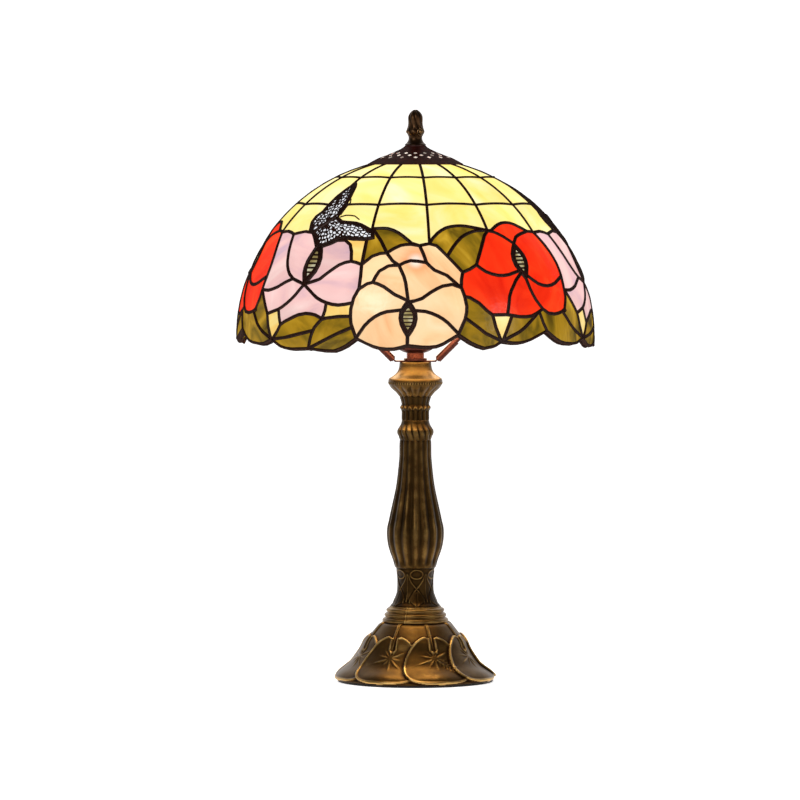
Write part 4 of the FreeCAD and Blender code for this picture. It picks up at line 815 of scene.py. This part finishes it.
def solder_beads(name, radius, section):
    """Rounded solder along every edge of the solder network on one side of the shade."""
    verts = []
    faces = []
    count = 0
    for loop in surface_loops("solder_network", radius):
        line = eased(loop, 3)
        rows = bead_ring(line, section, radius)
        verts.append(rows.reshape(-1, 3))
        faces.append(grid_faces(rows.shape[0], rows.shape[1], True) + count)
        count += rows.shape[0] * rows.shape[1]
    verts = np.concatenate(verts)
    # hand-run solder is never quite even
    wave = np.sin(verts @ np.array([310.0, 270.0, 350.0]))
    wave = wave * np.sin(verts @ np.array([-190.0, 410.0, 230.0]))
    rel = verts - SHADE_CENTRE
    dist = np.linalg.norm(rel, axis=1)
    lift = 1.0 + (0.07 * MM * wave)[:, None] / dist[:, None]
    piece = add_piece(name, SHADE_CENTRE + rel * lift, np.concatenate(faces), "shade", SOLDER)


OUTER_SECTION = [(o * MM, GLASS_OUT + h * MM) for o, h in
                 ((-0.16, -0.1), (-0.14, 0.3), (0.02, 0.62), (0.32, 0.92), (0.75, 1.1),
                  (1.15, 1.15), (1.15, 0.2), (0.3, -0.1))]
INNER_SECTION = [(o * MM, GLASS_IN - h * MM) for o, h in
                 ((-0.16, -0.1), (-0.12, 0.3), (0.2, 0.8), (0.7, 1.0), (1.15, 1.05), (0.6, 0.0))]
solder_beads("solder_beads_outside", SOLDER_OUT, OUTER_SECTION)
solder_beads("solder_beads_inside", SOLDER_IN, INNER_SECTION)


# ------------------------------------------------------------------ butterfly filigree
def spot_on_dome(lon, lat):
    a = math.radians(lon)
    b = math.radians(lat)
    return np.array([math.cos(b) * math.sin(a), -math.cos(b) * math.cos(a), math.sin(b)])


WING_CENTRE = spot_on_dome(-38.0, 42.5)
EAST = np.array([-WING_CENTRE[1], WING_CENTRE[0], 0.0])
EAST /= np.linalg.norm(EAST)
NORTH = np.cross(WING_CENTRE, EAST)


def flattened(unit):
    """Unit directions to millimetres on a flat sheet that touches the dome at the butterfly."""
    turn = np.arccos(np.clip(unit @ WING_CENTRE, -1, 1))
    x = unit @ EAST
    y = unit @ NORTH
    size = np.maximum(np.hypot(x, y), 1e-12)
    return np.stack([x / size * turn, y / size * turn], axis=-1) * GLASS_OUT / MM


def curved(flat):
    """The same sheet wrapped back on to the dome, as unit directions."""
    size = np.maximum(np.linalg.norm(flat, axis=-1), 1e-9)
    turn = size * MM / GLASS_OUT
    way = (flat[..., :1] * EAST + flat[..., 1:] * NORTH) / size[..., None]
    return np.cos(turn)[..., None] * WING_CENTRE + np.sin(turn)[..., None] * way


def segment_distance(points, a, b):
    along = b - a
    t = np.clip(((points - a) @ along) / (along @ along), 0.0, 1.0)
    return np.linalg.norm(points - a - t[:, None] * along, axis=1)


def butterfly_wings():
    """Black wing veins with small light cells between, cut through, over the white glass."""
    loops = surface_loops("butterfly_glass", GLASS_OUT)
    best = max(loops, key=lambda ring: (ring.mean(axis=0) / np.linalg.norm(ring.mean(axis=0)))
               @ WING_CENTRE)
    edge = flattened(best / np.linalg.norm(best, axis=1)[:, None])
    head, tail, heart = flattened(np.array([spot_on_dome(-36.4, 42.9), spot_on_dome(-43.0, 37.2),
                                            spot_on_dome(-39.4, 40.2)]))
    pitch = 0.3
    low = edge.min(axis=0) - 0.6
    high = edge.max(axis=0) + 0.6
    xs = np.arange(low[0], high[0], pitch)
    ys = np.arange(low[1], high[1], pitch)
    gx, gy = np.meshgrid(xs, ys)
    points = np.stack([gx.ravel(), gy.ravel()], axis=1)

    def field(p):
        """Positive on a vein, in millimetres from its side."""
        rim = np.full(len(p), 99.0)
        crossings = np.zeros(len(p), dtype=int)
        for i in range(len(edge)):
            a = edge[i - 1]
            b = edge[i]
            rim = np.minimum(rim, segment_distance(p, a, b))
            spans = (a[1] > p[:, 1]) != (b[1] > p[:, 1])
            cut = a[0] + (p[:, 1] - a[1]) * (b[0] - a[0]) / (b[1] - a[1] + 1e-12)
            crossings += spans & (p[:, 0] < cut)
        signed = np.where(crossings % 2 == 1, rim, -rim)
        rel = p - heart
        sway = np.stack([np.sin(p[:, 1] * 0.9 + 1.3) + np.sin(p[:, 0] * 1.7),
                         np.sin(p[:, 0] * 1.1) + np.sin(p[:, 1] * 1.5 + 0.7)], axis=1)
        rel = rel + 0.42 * sway
        rho = np.hypot(rel[:, 0], rel[:, 1])
        angle = np.arctan2(rel[:, 1], rel[:, 0])
        height = 3.9
        ring = np.floor((rho - 2.0) / height)
        across_ring = (rho - 2.0) / height - ring - 0.5
        middle = 2.0 + (ring + 0.5) * height
        number = np.maximum(6.0, np.round(2 * math.pi * np.maximum(middle, 2.0) / 2.7))
        turn = angle / (2 * math.pi) * number + 0.5 * (ring % 2)
        across_turn = turn - np.floor(turn) - 0.5
        width = 2 * math.pi * rho / number
        size = (np.abs(across_ring * height / (height * 0.5 - 0.5)) ** 3
                + np.abs(across_turn * width / np.maximum(width * 0.5 - 0.52, 0.2)) ** 3) ** (1 / 3)
        vein = (size - 1.0) * 0.9
        ribs = np.full(len(p), -9.0)
        for k in range(11):
            away = np.abs((angle - k * 2 * math.pi / 11 + math.pi) % (2 * math.pi) - math.pi)
            ribs = np.maximum(ribs, 0.55 - away * rho)
        trunk = 1.9 - segment_distance(p, head, tail)
        value = np.maximum(np.maximum(vein, ribs), np.maximum(trunk, 1.7 - rim))
        return np.minimum(value, signed + 0.35), trunk

    value, trunk = field(points)
    grad = np.zeros_like(points)
    for axis in (0, 1):
        nudge = np.zeros(2)
        nudge[axis] = 0.05
        grad[:, axis] = (field(points + nudge)[0] - field(points - nudge)[0]) / 0.1
    size = np.maximum((grad ** 2).sum(axis=1), 0.05)
    move = np.where((value < 0)[:, None], -value[:, None] * grad / size[:, None], 0.0)
    reach = np.linalg.norm(move, axis=1)
    move *= np.minimum(1.0, 0.42 / np.maximum(reach, 1e-9))[:, None]
    moved = points + move
    rows, columns = gx.shape
    index = np.arange(rows * columns).reshape(rows, columns)
    quads = np.stack([index[:-1, :-1], index[:-1, 1:], index[1:, 1:], index[1:, :-1]],
                     axis=-1).reshape(-1, 4)
    solid = (value[quads] > 0).sum(axis=1) >= 2
    quads = quads[solid]
    used, compact = np.unique(quads, return_inverse=True)
    quads = compact.reshape(-1, 4)
    rise = 0.45 + 0.5 * np.sqrt(np.clip(value[used] / 0.6, 0.0, 1.0))
    rise = rise + 1.1 * np.sqrt(np.clip(trunk[used] / 1.9, 0.0, 1.0))
    unit = curved(moved[used])
    one = unit * (GLASS_OUT + rise * MM)[:, None]
    verts = []
    faces = []
    for k in range(3):
        a = 2 * math.pi * k / 3
        spin = np.array([[math.cos(a), -math.sin(a), 0], [math.sin(a), math.cos(a), 0], [0, 0, 1]])
        faces.append(quads + k * len(one))
        verts.append(one @ spin.T + SHADE_CENTRE)
    piece = add_piece("butterfly_wing_veins", np.concatenate(verts), np.concatenate(faces),
                      "shade", SOLDER)
    thick = piece.modifiers.new("thickness", "SOLIDIFY")
    thick.thickness = 0.8 * MM
    thick.offset = -1.0
    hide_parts("butterfly_filigree")


butterfly_wings()


# ------------------------------------------------------------------ CAD parts that show as they are
FINISH = {
    "felt_pad": FELT, "base_board": BOARD, "cord_bushing": PLASTIC, "lamp_tube": STEEL,
    "base_plate": STEEL, "base_washer": STEEL, "base_nut": STEEL,
    "harp_saddle": DARK_METAL, "harp_loop": DARK_METAL,
    "ferrule_left": DARK_METAL, "ferrule_right": DARK_METAL, "swivel_stud": DARK_METAL,
    "shade_rest_washer": BRASS, "check_ring": DARK_METAL, "neck_spacer": COPPER,
    "socket_cap": DARK_METAL, "socket_nut": STEEL, "socket_shell": DARK_METAL,
    "socket_liner": LINER, "socket_insulator": PORCELAIN, "screw_shell": BRASS,
    "centre_contact": BRASS, "bulb_contact": STEEL, "bulb_insulator": PLASTIC,
    "bulb_cap": BRIGHT, "bulb_stem": PORCELAIN, "filament_mount": STEEL,
    "shade_collar": BRASS, "shade_spider": BRASS, "vented_cap": CAP_METAL,
    "finial_washer": CAP_METAL, "solder_network": SOLDER, "butterfly_filigree": SOLDER,
    "butterfly_antennae": SOLDER, "pistil_filigree": SOLDER,
    "yellow_glass_upper": YELLOW_GLASS, "yellow_glass_middle": YELLOW_GLASS,
    "yellow_glass_lower": YELLOW_GLASS, "lavender_petal_glass": LAVENDER_GLASS,
    "peach_petal_glass": PEACH_GLASS, "red_petal_glass": RED_GLASS,
    "upper_leaf_glass": LEAF_GLASS, "lower_leaf_glass": LEAF_GLASS,
    "filler_glass": AMBER_GLASS, "pistil_glass": PISTIL_GLASS, "butterfly_glass": WHITE_GLASS,
}
for node, material in FINISH.items():
    NODES[node].data.materials.clear()
    NODES[node].data.materials.append(material)


def soften(node, width):
    """Broken edges on a machined part."""
    bevel = NODES[node].modifiers.new("broken_edges", "BEVEL")
    bevel.width = width
    bevel.segments = 2
    bevel.limit_method = "ANGLE"
    bevel.angle_limit = math.radians(35.0)


for node in ("ferrule_left", "ferrule_right", "check_ring", "neck_spacer", "harp_saddle"):
    soften(node, 0.25 * MM)


# ------------------------------------------------------------------ setting, light and camera
def backdrop():
    """A pale floor, a hair under the felt, that curves up behind the lamp."""
    half = 8.0
    back = 4.0
    bend = 2.0
    level = -0.3 * MM
    profile = [(-9.0, level), (back - bend, level)]
    for k in range(1, 13):
        a = math.pi / 2 * k / 12
        profile.append((back - bend + bend * math.sin(a), level + bend - bend * math.cos(a)))
    profile.append((back, 9.0))
    verts = []
    for y, z in profile:
        verts.append((-half, y, z))
        verts.append((half, y, z))
    faces = [(2 * i, 2 * i + 1, 2 * i + 3, 2 * i + 2) for i in range(len(profile) - 1)]
    mesh = bpy.data.meshes.new("studio_floor")
    mesh.from_pydata(verts, [], faces)
    mesh.polygons.foreach_set("use_smooth", np.full(len(mesh.polygons), True))
    floor = bpy.data.objects.new("studio_floor", mesh)
    bpy.context.scene.collection.objects.link(floor)
    material, tree, out = new_material("pale_floor")
    shader = tree.nodes.new("ShaderNodeBsdfDiffuse")
    shader.inputs["Color"].default_value = (0.94, 0.94, 0.94, 1.0)
    lift = tree.nodes.new("ShaderNodeEmission")
    lift.inputs["Color"].default_value = (1.0, 1.0, 1.0, 1.0)
    lift.inputs["Strength"].default_value = 0.74
    both = tree.nodes.new("ShaderNodeAddShader")
    link(tree, shader, "BSDF", both, 0)
    link(tree, lift, "Emission", both, 1)
    link(tree, both, "Shader", out, "Surface")
    mesh.materials.append(material)


backdrop()

# the studio is white to look at, but lights the lamp softly so that the metal keeps its depth
world = bpy.data.worlds.new("studio")
bpy.context.scene.world = world
world.use_nodes = True
sky = world.node_tree
seen = sky.nodes["Background"]
seen.inputs["Color"].default_value = (1.0, 1.0, 1.0, 1.0)
seen.inputs["Strength"].default_value = 1.0
fill = sky.nodes.new("ShaderNodeBackground")
fill.inputs["Color"].default_value = (1.0, 0.98, 0.95, 1.0)
fill.inputs["Strength"].default_value = 0.11
path = sky.nodes.new("ShaderNodeLightPath")
choose = sky.nodes.new("ShaderNodeMixShader")
link(sky, path, "Is Camera Ray", choose, "Fac")
link(sky, fill, "Background", choose, 1)
link(sky, seen, "Background", choose, 2)
link(sky, choose, "Shader", sky.nodes["World Output"], "Surface")


def area_light(name, place, target, size, power, colour=(1.0, 1.0, 1.0)):
    """A round soft light at place, aimed at target."""
    light = bpy.data.lights.new(name, "AREA")
    light.shape = "DISK"
    light.size = size
    light.energy = power
    light.color = colour
    lamp = bpy.data.objects.new(name, light)
    lamp.location = place
    lamp.rotation_euler = (Vector(target) - Vector(place)).to_track_quat("-Z", "Y").to_euler()
    bpy.context.scene.collection.objects.link(lamp)


area_light("key_light", (-1.3, -2.3, 1.5), (0, 0, 0.2), 0.8, 24.0)
area_light("side_light", (1.9, -1.3, 0.7), (0, 0, 0.12), 0.5, 8.0)
# the light that the lit shade sends down on the column and the base
area_light("glow_below_shade", (0, 0, 0.300), (0, 0, 0), 0.2, 0.9, (1.0, 0.78, 0.48))
# the light that the bulb sends up into the vented cap
area_light("glow_above_bulb", (0, 0, 0.410), (0, 0, 0.5), 0.04, 0.8, (1.0, 0.86, 0.66))

bpy.context.scene.view_settings.view_transform = "Standard"

CAMERA_PLACE = (-0.013, -4.5, 0.431)
CAMERA_AIM = (-0.013, 0.0, 0.2377)
camera_data = bpy.data.cameras.new("camera")
camera_data.sensor_width = 36.0
camera_data.lens = 240.0
camera = bpy.data.objects.new("camera", camera_data)
camera.location = CAMERA_PLACE
sight = Vector(CAMERA_AIM) - Vector(CAMERA_PLACE)
camera.rotation_euler = sight.to_track_quat("-Z", "Y").to_euler()
bpy.context.scene.collection.objects.link(camera)
bpy.context.scene.camera = camera
